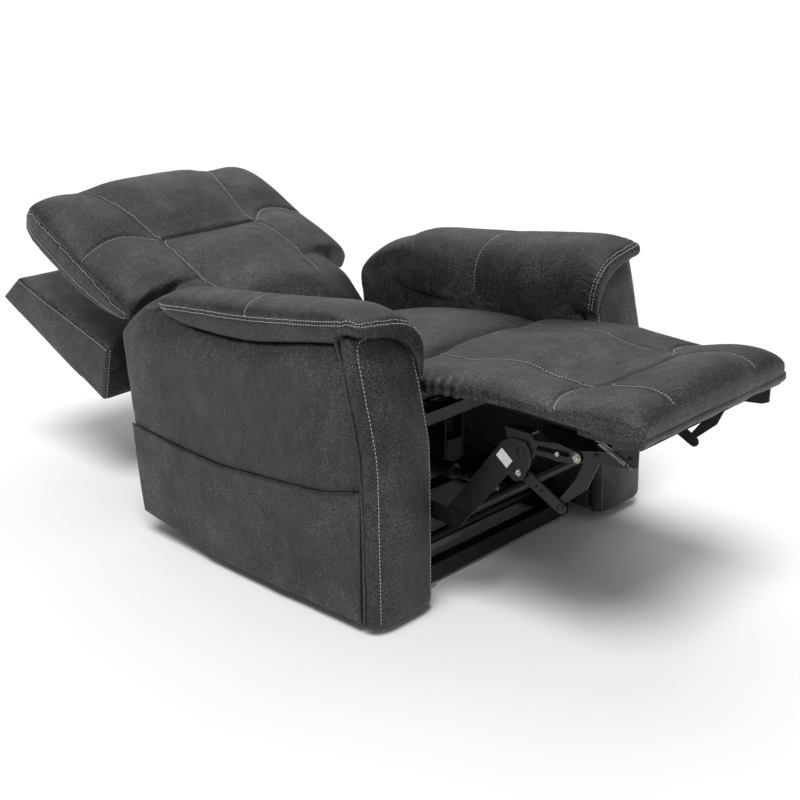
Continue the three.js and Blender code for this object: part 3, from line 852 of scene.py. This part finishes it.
def back_cushion():
    head = Pad(["headrest_pad"], WORLD_TO_BACK, puff=17 * MM, spread=0.055)
    lumbar = Pad(["lumbar_pad"], WORLD_TO_BACK, puff=17 * MM, spread=0.055)
    curves = [HEAD_CURVE, SHOULDER_CURVE, WAIST_CURVE]
    lines = [plan(c) for c in [*curves, *(mirror_plan(c) for c in curves), MID_LINE]]
    head.bottoms = np.interp(head.ys, *HEAD_UNDERSIDE)
    lumbar.share_profile(head)
    for pad in (head, lumbar):
        pad.sewn(lines)
        pad.lifts = [(0, 0.38, 0.3, 0.1, 14 * MM)]
    piece = join([head.body("head"), lumbar.body("waist", end=head.ys[0] + 40 * MM)])
    top = head.on_top
    waist = [p for p in WAIST_CURVE if p[1] > 330]
    seams = both([Seam(top(HEAD_CURVE)), Seam(top(SHOULDER_CURVE)), Seam(top(waist))])
    low = [(x, y) for x, y in WAIST_CURVE if y <= 350]
    seams += both([Seam(lumbar.on_top(low))])
    seams.append(Seam(top(MID_LINE), groove=6 * MM, rows=()))
    seams += both([Seam(side_line(head, 1.0), gather=0.5 * MM)])
    seams += both([Seam(side_line(head, 0.36), groove=2.4 * MM)])

    def held(p):
        return p[2] < head.at(min(max(p[1], head.ys[0]), head.ys[-1]))[2] + 10 * MM

    return Cushion("back_cushion", piece, seams, voxel=5.5 * MM, pinned=held, softening=1)


def side_line(pad, share):
    """A seam along a pad's side, between its underside (0) and its upper edge (1)."""
    line = []
    for y in np.linspace(pad.ys[0] + 8 * MM, pad.ys[-1] - 8 * MM, 14):
        centre, half, bottom, edge, _ = pad.at(y)
        line.append(Vector((centre + half, y, bottom + share * (edge - bottom))))
    return line


def finish_back(cushion):
    for piece in (cushion.piece, cushion.stitches):
        piece.data.transform(BACK_TO_WORLD)
        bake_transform(piece)
    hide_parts("headrest_pad", "lumbar_pad")


# ---- Seat and chaise ------------------------------------------------------------------
def seat_cushion():
    pad = Pad(["seat_cushion"])
    pad.lifts = [(0, -0.1, 0.16, 0.16, 6 * MM)]
    sides = both([Seam(side_line(pad, 1.0), rows=())])

    def held(p):
        return p[2] < 0.36

    return Cushion("seat_pad", pad.body("seat"), sides, voxel=9 * MM, cap=12 * MM, pinned=held)


# Seams of the chaise as [x, y], in millimetres, on the positive side
LONG_SEAM = [
    (128, -345), (132, -400), (134, -460), (134, -520),
    (132, -580), (132, -640), (133, -700), (136, -724),
]
SHORT_SEAM = [(136, -724), (150, -708), (172, -698), (205, -700), (235, -710), (257, -722)]
ROLL_SEAM = [(112, -742), (130, -762), (140, -800), (142, -840), (142, -876), (140, -896)]
CROSS_SEAM = [(-136, -724), (-95, -742), (0, -748), (95, -742), (136, -724)]


def chaise():
    pad = Pad(["ottoman_pad", "chaise_bridge"], puff=8 * MM, spread=0.045, drop=7 * MM)
    curves = [LONG_SEAM, SHORT_SEAM, ROLL_SEAM]
    pad.sewn([plan(c) for c in [*curves, *(mirror_plan(c) for c in curves), CROSS_SEAM]])
    pad.lifts = [(0, -0.56, 0.4, 0.045, 7 * MM)]
    seams = both([Seam(pad.on_top(curve)) for curve in curves])
    seams.append(Seam(pad.on_top(CROSS_SEAM), groove=5 * MM, rows=()))
    seams += both([Seam(side_line(pad, 0.6), rows=(), groove=3.6 * MM, gather=0.4 * MM)])
    body = pad.body("chaise")

    def held(p):
        return p[2] < pad.at(p[1])[2] + 4 * MM

    return Cushion(
        "chaise", body, seams, voxel=5 * MM, cap=12 * MM, pinned=held, softening=1, folds=chaise_folds
    )


def chaise_folds(point):
    """Gathered folds down the chaise's sides, where the footrest folds away from the seat."""
    x, y, _ = point
    side = math.exp(-(((abs(x) - 0.25) / 0.05) ** 2))
    along = math.exp(-(((y + 0.45) / 0.07) ** 2))
    wander = noise.noise(Vector((x * 12, y * 10, 0.4)))
    return 2.6 * MM * side * along * math.sin(y * 2 * math.pi / 0.022 + 3 * wander)


def keep_part(name, made, material):
    """Makes a piece of what is left in a mesh under edit."""
    mesh = bpy.data.meshes.new(name)
    made.to_mesh(mesh)
    made.free()
    mesh.materials.append(material)
    part = bpy.data.objects.new(name, mesh)
    bpy.context.scene.collection.objects.link(part)
    return part


def split_along_y(piece, y, names):
    """Cuts a closed mesh at y into two closed meshes, nearer -Y first."""
    halves = []
    for name, inner in zip(names, (False, True)):
        made = bmesh.new()
        made.from_mesh(piece.data)
        cut = bmesh.ops.bisect_plane(
            made,
            geom=[*made.verts, *made.edges, *made.faces],
            plane_co=(0, y, 0),
            plane_no=(0, 1, 0),
            clear_outer=not inner,
            clear_inner=inner,
        )
        rim = [e for e in cut["geom_cut"] if isinstance(e, bmesh.types.BMEdge)]
        bmesh.ops.contextual_create(made, geom=rim)
        halves.append(keep_part(name, made, LEATHER))
    bpy.data.objects.remove(piece)
    return halves


def split_stitches(piece, y, names):
    """Parts a mesh of many stitches at y, each whole stitch going to one side."""
    size = 6 * len(STITCH_SECTIONS)
    halves = []
    for name, wanted in zip(names, (False, True)):
        made = bmesh.new()
        made.from_mesh(piece.data)
        made.verts.ensure_lookup_table()
        drop = []
        for start in range(0, len(made.verts), size):
            one = made.verts[start:start + size]
            behind = sum(v.co.y for v in one) / size > y
            if behind != wanted:
                drop += one
        bmesh.ops.delete(made, geom=drop, context="VERTS")
        halves.append(keep_part(name, made, THREAD))
    bpy.data.objects.remove(piece)
    return halves


def finish_chaise(cushion):
    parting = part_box("chaise_bridge")[0].y
    pad, bridge = split_along_y(cushion.piece, parting, ("footrest_pad", "chaise_bridge_pad"))
    dress(pad, "ottoman", "ottoman_pad")
    dress(bridge, "chassis", "chaise_bridge")
    names = ("footrest_pad_stitches", "chaise_bridge_stitches")
    ahead, behind = split_stitches(cushion.stitches, parting, names)
    dress(ahead, "ottoman", slot="thread")
    dress(behind, "chassis", slot="thread")
    for piece in (bridge, behind):
        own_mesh(piece)


# ---- Arms -------------------------------------------------------------------------------
def arm_cover():
    """The padded box of the right arm, grown from its CAD solid."""
    node = NODES["arm_right"]
    piece = bpy.data.objects.new("arm", node.data.copy())
    bpy.context.scene.collection.objects.link(piece)
    piece.data.materials.clear()
    piece.data.materials.append(LEATHER)
    low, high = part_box("arm_right")
    piece = join([piece, arm_rear_top(), arm_wall_top()])
    corners = (((229, 52), (250, 220), (274, 440)), ((-447, 20), (-436, 358), (-392, 530)))
    seams = []
    for line in corners:
        points = [Vector((low.x, y * MM, z * MM)) for y, z in line]
        seams.append(Seam(points, rows=(), groove=1.5 * MM))

    def held(p):
        between_walls = min(abs(p[0] - low.x), abs(p[0] - high.x)) > 12 * MM
        return between_walls or p[2] < low.z + 8 * MM or p[1] < low.y + 6 * MM

    return Cushion("arm_cover_right", piece, seams, voxel=8 * MM, cap=7 * MM, pinned=held)


def arm_wall_top():
    """The arm's walls carried up to just under the pillow's lip."""
    low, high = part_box("arm_right")
    rings = []
    for y in np.linspace(-381, 118, 40):
        top = (pillow_height("lip", y) - 1) * MM
        corners = ((low.x, 0.45), (high.x - 0.02, 0.45), (high.x - 0.02, top), (low.x, top))
        rings.append([Vector((x, y * MM, z)) for x, z in corners])
    return loft("arm_wall_top", rings, LEATHER)


def arm_rear_top():
    """The rounded top of the arm behind the pillow, where its side rolls over."""
    low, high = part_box("arm_right")
    middle = (low.x + high.x) / 2
    half = (high.x - low.x) / 2
    crest = [(60, 540), (120, 554), (160, 545), (209, 528), (240, 508), (262, 492), (275, 470)]
    ys = [y * MM for y, _ in crest]
    tops = [z * MM for _, z in crest]
    rings = []
    for y in np.linspace(ys[0], ys[-1], 24):
        top = ease(ys, tops, y)
        foot = 430 * MM
        edge = max(foot + 8 * MM, top - 56 * MM)
        over = []
        for i in range(25):
            share = math.cos(math.pi * i / 24)
            rise = (1 - abs(share) ** 2.6) ** 0.5
            over.append((middle + share * half, y, edge + (top - edge) * rise))
        rings.append([*over, (low.x, y, foot), (high.x, y, foot)])
    return loft("arm_rear_top", rings, LEATHER)


# The stitched row of the front panel, as [x, z] in millimetres
PANEL_ROW = [
    (-431, 24), (-431, 200), (-431, 358), (-431, 470), (-430, 540), (-424, 562), (-406, 570),
    (-365, 566), (-325, 551), (-302, 528), (-291, 497), (-287, 440), (-286, 300), (-286, 24),
]


def arm_front():
    """The bowed front panel of the right arm."""
    node = "arm_front_right"
    points = [v.co for v in NODES[node].data.vertices]
    low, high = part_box(node)
    levels = sorted({round(p.z, 4) for p in points})
    rings = [[p for p in points if abs(p.z - z) < MM] for z in levels]
    seam_y = [max(p.y for p in ring) for ring in rings]
    edge_y = [min(p.y for p in ring if p.x < low.x + MM) for ring in rings]
    bow_y = [min(p.y for p in ring) for ring in rings]
    outer_round, inner_round = 16 * MM, 66 * MM

    def narrowing(z, radius):
        depth = max(0.0, z - (high.z - radius)) / radius
        return radius * (1 - math.sqrt(max(0.0, 1 - depth**2)))

    def ring(z):
        left, right = low.x + narrowing(z, outer_round), high.x - narrowing(z, inner_round)
        seam, edge, bow = (ease(levels, ys, z) for ys in (seam_y, edge_y, bow_y))
        over = []
        for i in range(25):
            s = math.cos(math.pi * i / 24)
            x = (left + right) / 2 + s * (right - left) / 2
            over.append((x, edge + (bow - edge) * (1 - abs(s) ** 4) ** 0.5, z))
        return [*over, (left, seam, z), (right, seam, z)]

    rise = [low.z + (high.z - low.z) * i / 60 for i in range(60)] + [high.z - 0.5 * MM]
    piece = loft("arm_front", [ring(z) for z in rise], LEATHER)
    row = [Vector((x * MM, ease(levels, bow_y, z * MM) + 4 * MM, z * MM)) for x, z in PANEL_ROW]
    seams = [Seam(row, rows=(0.0,), groove=1.6 * MM)]

    def held(p):
        return p[1] > ease(levels, seam_y, p[2]) - 3 * MM or p[2] < low.z + 6 * MM

    return Cushion("arm_front_panel_right", piece, seams, voxel=5 * MM, cap=5 * MM, pinned=held)


# The pillow on the arm, as {what: [y, z]} in millimetres
PILLOW = {
    "top": [
        (-442, 596), (-430, 606), (-415, 611), (-395, 616), (-368, 620), (-340, 619), (-290, 613),
        (-161, 596), (-22, 579), (60, 570), (128, 560), (160, 546), (205, 522),
    ],
    "seam": [
        (-442, 592), (-417, 606), (-385, 601), (-308, 587), (-125, 560),
        (-4, 548), (144, 532), (160, 524), (205, 506),
    ],
    "lip": [
        (-442, 582), (-392, 580), (-384, 566), (-376, 560), (-319, 550), (-136, 515),
        (44, 507), (120, 516), (140, 526), (160, 512), (205, 490),
    ],
}
# Under its front end, as [x, z], where it wraps the top of the front panel
FRONT_UNDERSIDE = [
    (-441, 580), (-420, 579), (-372, 571), (-340, 560), (-311, 538), (-292, 508), (-286, 478)
]


def pillow_height(what, y):
    line = PILLOW[what]
    return ease([p[0] for p in line], [p[1] for p in line], y)


def pillow_crown(x, y):
    """Height of the pillow's top, in millimetres: tight at the outer seam, rounder inside."""
    top = pillow_height("top", y)
    if x < -375:
        edge, share, power = pillow_height("seam", y), (-375 - x) / 69, 2.6
    else:
        edge, share, power = top - 92, (x + 375) / 104, 2.2
    return edge + (top - edge) * (1 - min(1.0, share) ** power) ** (1 / power)


def pillow_ring(y):
    """The pillow's outline at y: crown, outer lip, underside and the flap inside the arm."""
    outer = -444 + 12 * max(0.0, (-418 - y) / 24) ** 2 + 9 * max(0.0, (y - 120) / 40)
    inner = -271 - 5 * max(0.0, (-418 - y) / 24) ** 2
    middle, half = (inner + outer) / 2, (inner - outer) / 2
    ring = []
    for i in range(33):
        x = middle + half * math.cos(math.pi * i / 32)
        ring.append((x, pillow_crown(x, y)))
    lip = pillow_height("lip", y)
    ring += [(outer - 1.5, (lip + ring[-1][1]) / 2), (outer + 1, lip + 3), (outer + 7, lip)]
    if y < -386:
        ring += [(max(x, outer + 8), min(z, lip)) for x, z in FRONT_UNDERSIDE]
        ring += [(-277, 470), (inner - 1, 472)]
    else:
        foot = 415 + 40 * max(0.0, (y - 120) / 80)
        floor = min(lip, 503)
        under = [(-428, lip), (-412, lip - 2), (-385, (lip + floor) / 2), (-350, floor), (-300, floor)]
        ring += [*under, (-290, floor - 12), (-289, foot + 12), (-286, foot), (inner - 3, foot)]
    ring.append((inner + 0.5, ring[0][1] - 40))
    return [mm(x, y, z) for x, z in ring]


def pillow_points(points):
    """Points in plan, laid on the pillow's top."""
    return [mm(x, y, pillow_crown(x, y)) for x, y in points]


def arm_pad():
    """The pillow on the right arm, with its outer lip and its inner flap."""
    ys = [*np.linspace(-442, -386.5, 12), *np.linspace(-385.5, 205, 74)]
    piece = loft("arm_pad", [pillow_ring(y) for y in ys], LEATHER)
    outer = [mm(-444, y, pillow_height("seam", y)) for y in (140, 60, -4, -125, -308, -385)]
    front = [
        mm(*p)
        for p in (
            (-444, -385, 601), (-441, -405, 606), (-430, -430, 607), (-368, -441, 602),
            (-318, -439, 588), (-292, -434, 564), (-280, -429, 528), (-276, -424, 484),
        )
    ]
    over = pillow_points([(-432, -122), (-400, -112), (-360, -104), (-310, -100)])
    cross = [mm(-444, -127, 561), *over, mm(-273, -98, 520), mm(-271, -98, 440)]
    corner = [mm(-446, -384, 590), mm(-446, -384, 566)]
    seams = [
        Seam(outer, rows=(-4 * MM, 4 * MM), groove=2.6 * MM, gather=0.15 * MM),
        Seam(front, rows=(-4 * MM, 4 * MM), groove=2.6 * MM, gather=0.7 * MM),
        Seam(cross, rows=(4 * MM,), groove=2.4 * MM),
        Seam(corner, rows=(), groove=2.0 * MM),
    ]

    def held(p):
        return p[2] < pillow_height("lip", p[1] / MM) * MM + 3 * MM and p[0] < -290 * MM

    return Cushion(
        "arm_pad_cover_right", piece, seams, voxel=5 * MM, cap=7 * MM, pinned=held, softening=2
    )


def arm_welts(side, label):
    """Piping where the arm's side meets its front panel."""
    x = side * (abs(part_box("arm_right")[0].x) - 0.4 * MM)
    course = [
        (-447, 22), (-444, 200), (-437, 340), (-424, 410), (-405, 480), (-393, 530), (-378, 572)
    ]
    line = spline([Vector((x, y * MM, z * MM)) for y, z in course], 8 * MM)
    return dress(tube("arm_welt_" + label, line, WELT, LEATHER), "chassis")


# The pocket's upper edge as [y, z], its front end and its length, in millimetres
MOUTH = [
    (-436, 291), (-342, 267), (-245, 256), (-120, 244), (-47, 238), (60, 241), (120, 244), (248, 252)
]
POCKET_FRONT, POCKET_LENGTH = -438, 694


def mouth_height(y):
    """The height of the pocket's edge at y, both in millimetres."""
    return ease([m[0] for m in MOUTH], [m[1] for m in MOUTH], y)


def pocket_point(y, share):
    """A spot on the pocket's outer face and how far it stands off the arm, in millimetres."""
    foot = 22 + max(0.0, y + 17) / 246 * 32
    z = foot + (mouth_height(y) - foot) * share
    arm_end = 227 + 47 * (z - 52) / 388
    y = min(y, arm_end - 2)
    belly = max(0.0, 1 - ((y + 95) / 345) ** 4)
    slack = belly * (0.3 + 0.7 * share)
    out = 2.6 + 10.0 * slack
    out += 2.6 * belly * math.sin(share * 5 + (y + 300) / 95) * (1 - share) ** 0.5
    crease = noise.noise(Vector(((y + 0.7 * z) / 60, (z - 0.4 * y) / 170, 3.1)))
    out += 2.2 * belly * crease
    return y, z, out


def pocket():
    """The soft pocket on the outside of the right arm, open along its top."""
    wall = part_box("arm_right")[0].x
    columns, rows = 110, 40
    front, back = [], []
    for i in range(columns + 1):
        for k in range(rows + 1):
            y, z, out = pocket_point(POCKET_FRONT + POCKET_LENGTH * i / columns, k / rows)
            front.append(Vector((wall - out * MM, y * MM, z * MM)))
            back.append(Vector((wall - (out - 2.2) * MM, y * MM, z * MM)))
    piece = sheet("arm_pocket_cover", front, back, columns, rows, LEATHER)
    keep_rest(piece)
    dress(piece, "chassis", "arm_pocket")
    hem = []
    lip = []
    for y in range(-424, 241, 24):
        hem.append(Vector((wall - 12 * MM, y * MM, (mouth_height(y) - 44) * MM)))
        lip.append(Vector((wall - 10 * MM, y * MM, mouth_height(y) * MM)))
    stitches = sew("arm_pocket_stitches", piece, [Seam(hem, rows=(0.0,))], DARK_THREAD)
    keep_rest(stitches)
    dress(stitches, "chassis", slot="thread")
    surface = surface_of(piece)
    line = [surface.find_nearest(p)[0] for p in spline(lip, 8 * MM)]
    welt = tube("arm_pocket_lip", line, 2.0 * MM, LEATHER)
    keep_rest(welt)
    dress(welt, "chassis")


def finish_arms(cover, panel, pad):
    for cushion, node in ((cover, "arm"), (panel, "arm_front"), (pad, "arm_pad")):
        stem = cushion.name[: -len("right")]
        left = mirrored(cushion.piece, stem + "left")
        dress(cushion.piece, "chassis", node + "_right")
        dress(left, "chassis", node + "_left")
        if any(seam.rows for seam in cushion.seams):
            rows = mirrored(cushion.stitches, stem + "left_stitches")
            dress(cushion.stitches, "chassis", slot="thread")
            dress(rows, "chassis", slot="thread")
        else:
            bpy.data.objects.remove(cushion.stitches)
    for label, side in SIDES.items():
        keep_rest(arm_welts(side, label))
    pocket()


# ---- Back shell ------------------------------------------------------------------------
SHELL_OUTLINE = [(328, -222), (773, -231), (727, -137), (360, -79)]
# Seams on the shell's sides, as [along, height] in millimetres, stitch rows and groove
SHELL_SEAMS = [
    ([(362, -82), (500, -104), (620, -124), (725, -138)], (6 * MM,), 1.6 * MM),
    ([(330, -221), (480, -224), (620, -227), (771, -230)], (), 1.6 * MM),
    ([(359, -84), (345, -150), (329, -218)], (6 * MM,), 2.0 * MM),
    ([(728, -140), (750, -185), (772, -228)], (), 1.6 * MM),
]


def back_shell():
    """The closed upholstered box behind the back, with slightly domed sides."""
    outline = resample([*plan(SHELL_OUTLINE), *plan(SHELL_OUTLINE[:1])], 12 * MM)[:-1]
    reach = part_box("back_shell")[1].x
    rings = []
    for share in np.linspace(-1, 1, 40):
        rings.append([Vector((share * reach, p.x, p.y)) for p in outline])
    piece = loft("shell", rings, LEATHER)
    seams = []
    for line, rows, groove in SHELL_SEAMS:
        points = [Vector((reach, u * MM, n * MM)) for u, n in line]
        seams += both([Seam(points, rows=rows, groove=groove)])

    def held(p):
        return abs(p[0]) < reach - 6 * MM and p[2] > -214 * MM and 0.39 < p[1] < 0.7

    return Cushion(
        "back_shell_cover", piece, seams, voxel=8 * MM, cap=8 * MM, pinned=held, softening=2
    )


def back_apron():
    """The dust cloth that hangs below the shell at the rear, slightly slack."""
    front, behind = [], []
    columns, rows = 24, 16
    for i in range(columns + 1):
        x = -250 + 500 * i / columns
        for k in range(rows + 1):
            u = 112 + 226 * k / rows
            slack = 3.5 * math.sin(math.pi * k / rows) * math.sin(math.pi * i / columns)
            n = -219 + slack * noise.noise(Vector((x / 90, u / 70, 0.7))) - 0.4 * slack
            front.append(BACK_TO_WORLD @ mm(x, u, n + 3))
            behind.append(BACK_TO_WORLD @ mm(x, u, n))
    return sheet("back_apron", front, behind, columns, rows, DUST_COVER)


def finish_shell(cushion):
    for piece in (cushion.piece, cushion.stitches):
        piece.data.transform(BACK_TO_WORLD)
    dress(cushion.piece, "back", "back_shell")
    dress(cushion.stitches, "back", slot="thread")
    apron = back_apron()
    keep_rest(apron)
    dress(apron, "back", slot="lining")


# ---- Steelwork ---------------------------------------------------------------------------
def repaint(node, material, bevel=0.8 * MM):
    """Gives a CAD piece its finish and softens its sharp edges."""
    piece = NODES[node]
    piece.data.materials.clear()
    piece.data.materials.append(material)
    edges = piece.modifiers.new("edges", "BEVEL")
    edges.width = bevel
    edges.segments = 2
    edges.limit_method = "ANGLE"
    edges.angle_limit = math.radians(40)


FRAME_WORDS = (
    "link", "chassis", "seat_frame", "seat_rear", "bracket", "footrest_tube",
    "back_frame", "headrest_frame", "seat_springs",
)


def repaint_steelwork():
    finishes = {
        FRAME_PAINT: ("painted_frame", FRAME_WORDS),
        BASE_PAINT: ("base_black", ("base_", "lift_tube")),
        ZINC: ("zinc", ("_rod",)),
        HOUSING: ("motor_housing", ("_motor", "control_box")),
        GLIDE: ("glide", ("glide_",)),
        BOARD_CLOTH: ("lining", ("ottoman_board",)),
    }
    order = (ZINC, GLIDE, BOARD_CLOTH, HOUSING, BASE_PAINT, FRAME_PAINT)
    for name, piece in NODES.items():
        if piece.hide_render:
            continue
        for material in order:
            slot, words = finishes[material]
            if any(word in name for word in words):
                repaint(name, material)
                break


# ---- Fittings ------------------------------------------------------------------------------
DRIVE_FACE, LONG_FACE, BRACKET_FACE, SWING_FACE = 236, 231.4, 226.8, 240.7

# What is fitted where: name, body, [y, z], the face it sits on, head radius and washer radius
BOLTS = [
    ("ottoman_bolt", "long_links", (-760, 386), LONG_FACE, 7.0, 10.5, "copper"),
    ("slot_bolt", "long_links", (-719, 382), LONG_FACE, 5.0, 0, "zinc"),
    ("long_link_rivet", "drive_links", (-641, 365), DRIVE_FACE, 7.5, 10.0, "paint"),
    ("cross_link_bolt", "drive_links", (-636, 324), DRIVE_FACE, 5.0, 7.5, "zinc"),
    ("cross_foot_rivet", "cross_links", (-728, 277), BRACKET_FACE, 6.5, 8.5, "paint"),
    ("bracket_rivet_rear", "ottoman", (-800, 400), BRACKET_FACE, 3.6, 5.0, "paint"),
    ("bracket_rivet_front", "ottoman", (-868, 412), BRACKET_FACE, 3.6, 5.0, "paint"),
    ("drive_pivot_bolt", "drive_links", (-481, 185), DRIVE_FACE, 7.5, 11.0, "paint"),
    ("swing_pivot_bolt", "swing_links", (-353, 196), SWING_FACE, 7.5, 11.0, "paint"),
]


def turned(name, x0, side, y, z, profile, material):
    """A round fitting along X, from [reach, radius] pairs in millimetres."""
    rings = []
    for reach, radius in profile:
        ring = []
        for i in range(24):
            angle = 2 * math.pi * i / 24
            ring.append(
                mm(side * (x0 + reach), y + radius * math.cos(angle), z + radius * math.sin(angle))
            )
        rings.append(ring)
    return loft(name, rings, material)


def bolt(name, body, spot, face, head, washer, kind, side):
    """A domed bolt head with a recess, on a washer where it has one."""
    finish, slot = {
        "copper": (ZINC, "zinc"), "zinc": (ZINC, "zinc"), "paint": (FRAME_PAINT, "painted_frame")
    }[kind]
    seat = 0.0
    if washer:
        profile = [(-0.5, washer), (0.7, washer), (1.1, washer - 0.4)]
        ring, ring_slot = (COPPER, "washer") if kind == "copper" else (finish, slot)
        dress(turned(name + "_washer", face, side, *spot, profile, ring), body, slot=ring_slot)
        seat = 1.0
    dome = [(-0.3, 1.0), (1.2, 1.0), (2.6, 0.9), (3.6, 0.66), (4.0, 0.42), (4.0, 0.4), (2.8, 0.34)]
    profile = [(seat + reach, head * share) for reach, share in dome]
    dress(turned(name, face, side, *spot, profile, finish), body, slot=slot)


def spring(name, side):
    """The tension spring above the ottoman bracket, with its end hooks."""
    start, end = mm(side * 229, -806, 426), mm(side * 229, -872, 398)
    along = (end - start).normalized()
    across = Vector((1, 0, 0))
    up = across.cross(along)
    line = [start - along * 9 * MM + up * 2 * MM, start - along * 4 * MM]
    turns, steps = 15, 12
    for i in range(turns * steps + 1):
        angle = 2 * math.pi * i / steps
        share = i / (turns * steps)
        out = (across * math.cos(angle) + up * math.sin(angle)) * 4.2 * MM
        line.append(start.lerp(end, 0.86 * share) + out)
    line += [end - along * 6 * MM, end + up * 3 * MM, end + along * 3 * MM - up * 2 * MM]
    dress(tube(name, line, 0.9 * MM, ZINC, 6), "ottoman", slot="zinc")


def blank_label():
    """A plain pale sticker on the right drive plate, with nothing printed on it."""
    lean = math.atan2(376 - 204, -598 + 468)
    along = Vector((0, math.cos(lean), math.sin(lean)))
    across = Vector((0, -math.sin(lean), math.cos(lean)))
    corners = []
    for a, b in ((-11, -16), (11, -16), (11, 16), (-11, 16)):
        corners.append(mm(0, -604, 344) + along * a * MM + across * b * MM)
    rings = []
    for reach in (DRIVE_FACE - 0.3, DRIVE_FACE + 0.3):
        rings.append([Vector((-reach * MM, p.y, p.z)) for p in corners])
    piece = loft("blank_label", rings, LABEL)
    piece.data.polygons.foreach_set("use_smooth", [False] * len(piece.data.polygons))
    dress(piece, "drive_links", slot="glide")


def footrest_front_wrap():
    """Leather pulled round under the front of the footrest board."""
    rings = []
    for x in np.linspace(-244, 244, 40):
        wave = 1.2 * math.sin(x / 17) + 1.5 * noise.noise(Vector((x / 60, 0.2, 0.4)))
        outline = [
            (-903, 462), (-905, 450), (-900, 441 + wave), (-880, 437 + wave),
            (-790, 436.5 + wave), (-770, 438 + wave), (-768, 446), (-790, 460),
        ]
        rings.append([mm(x, y, z) for y, z in outline])
    piece = loft("footrest_front_wrap", rings, LEATHER)
    keep_rest(piece)
    dress(piece, "ottoman")


def add_fittings():
    for label, side in SIDES.items():
        for name, *facts in BOLTS:
            bolt(name + "_" + label, *facts, side)
        spring("footrest_spring_" + label, side)
    blank_label()
    footrest_front_wrap()


# ---- Assembly -------------------------------------------------------------------------------
def build_soft_pieces():
    back, seat, footrest = back_cushion(), seat_cushion(), chaise()
    cover, panel, pad, shell = arm_cover(), arm_front(), arm_pad(), back_shell()
    cushions = [back, seat, footrest, cover, panel, pad, shell]
    simulate(cushions)
    for cushion in cushions:
        cushion.finish()
    finish_back(back)
    dress(seat.piece, "chassis", "seat_cushion")
    bpy.data.objects.remove(seat.stitches)
    finish_chaise(footrest)
    finish_arms(cover, panel, pad)
    finish_shell(shell)


build_soft_pieces()
repaint_steelwork()
add_fittings()
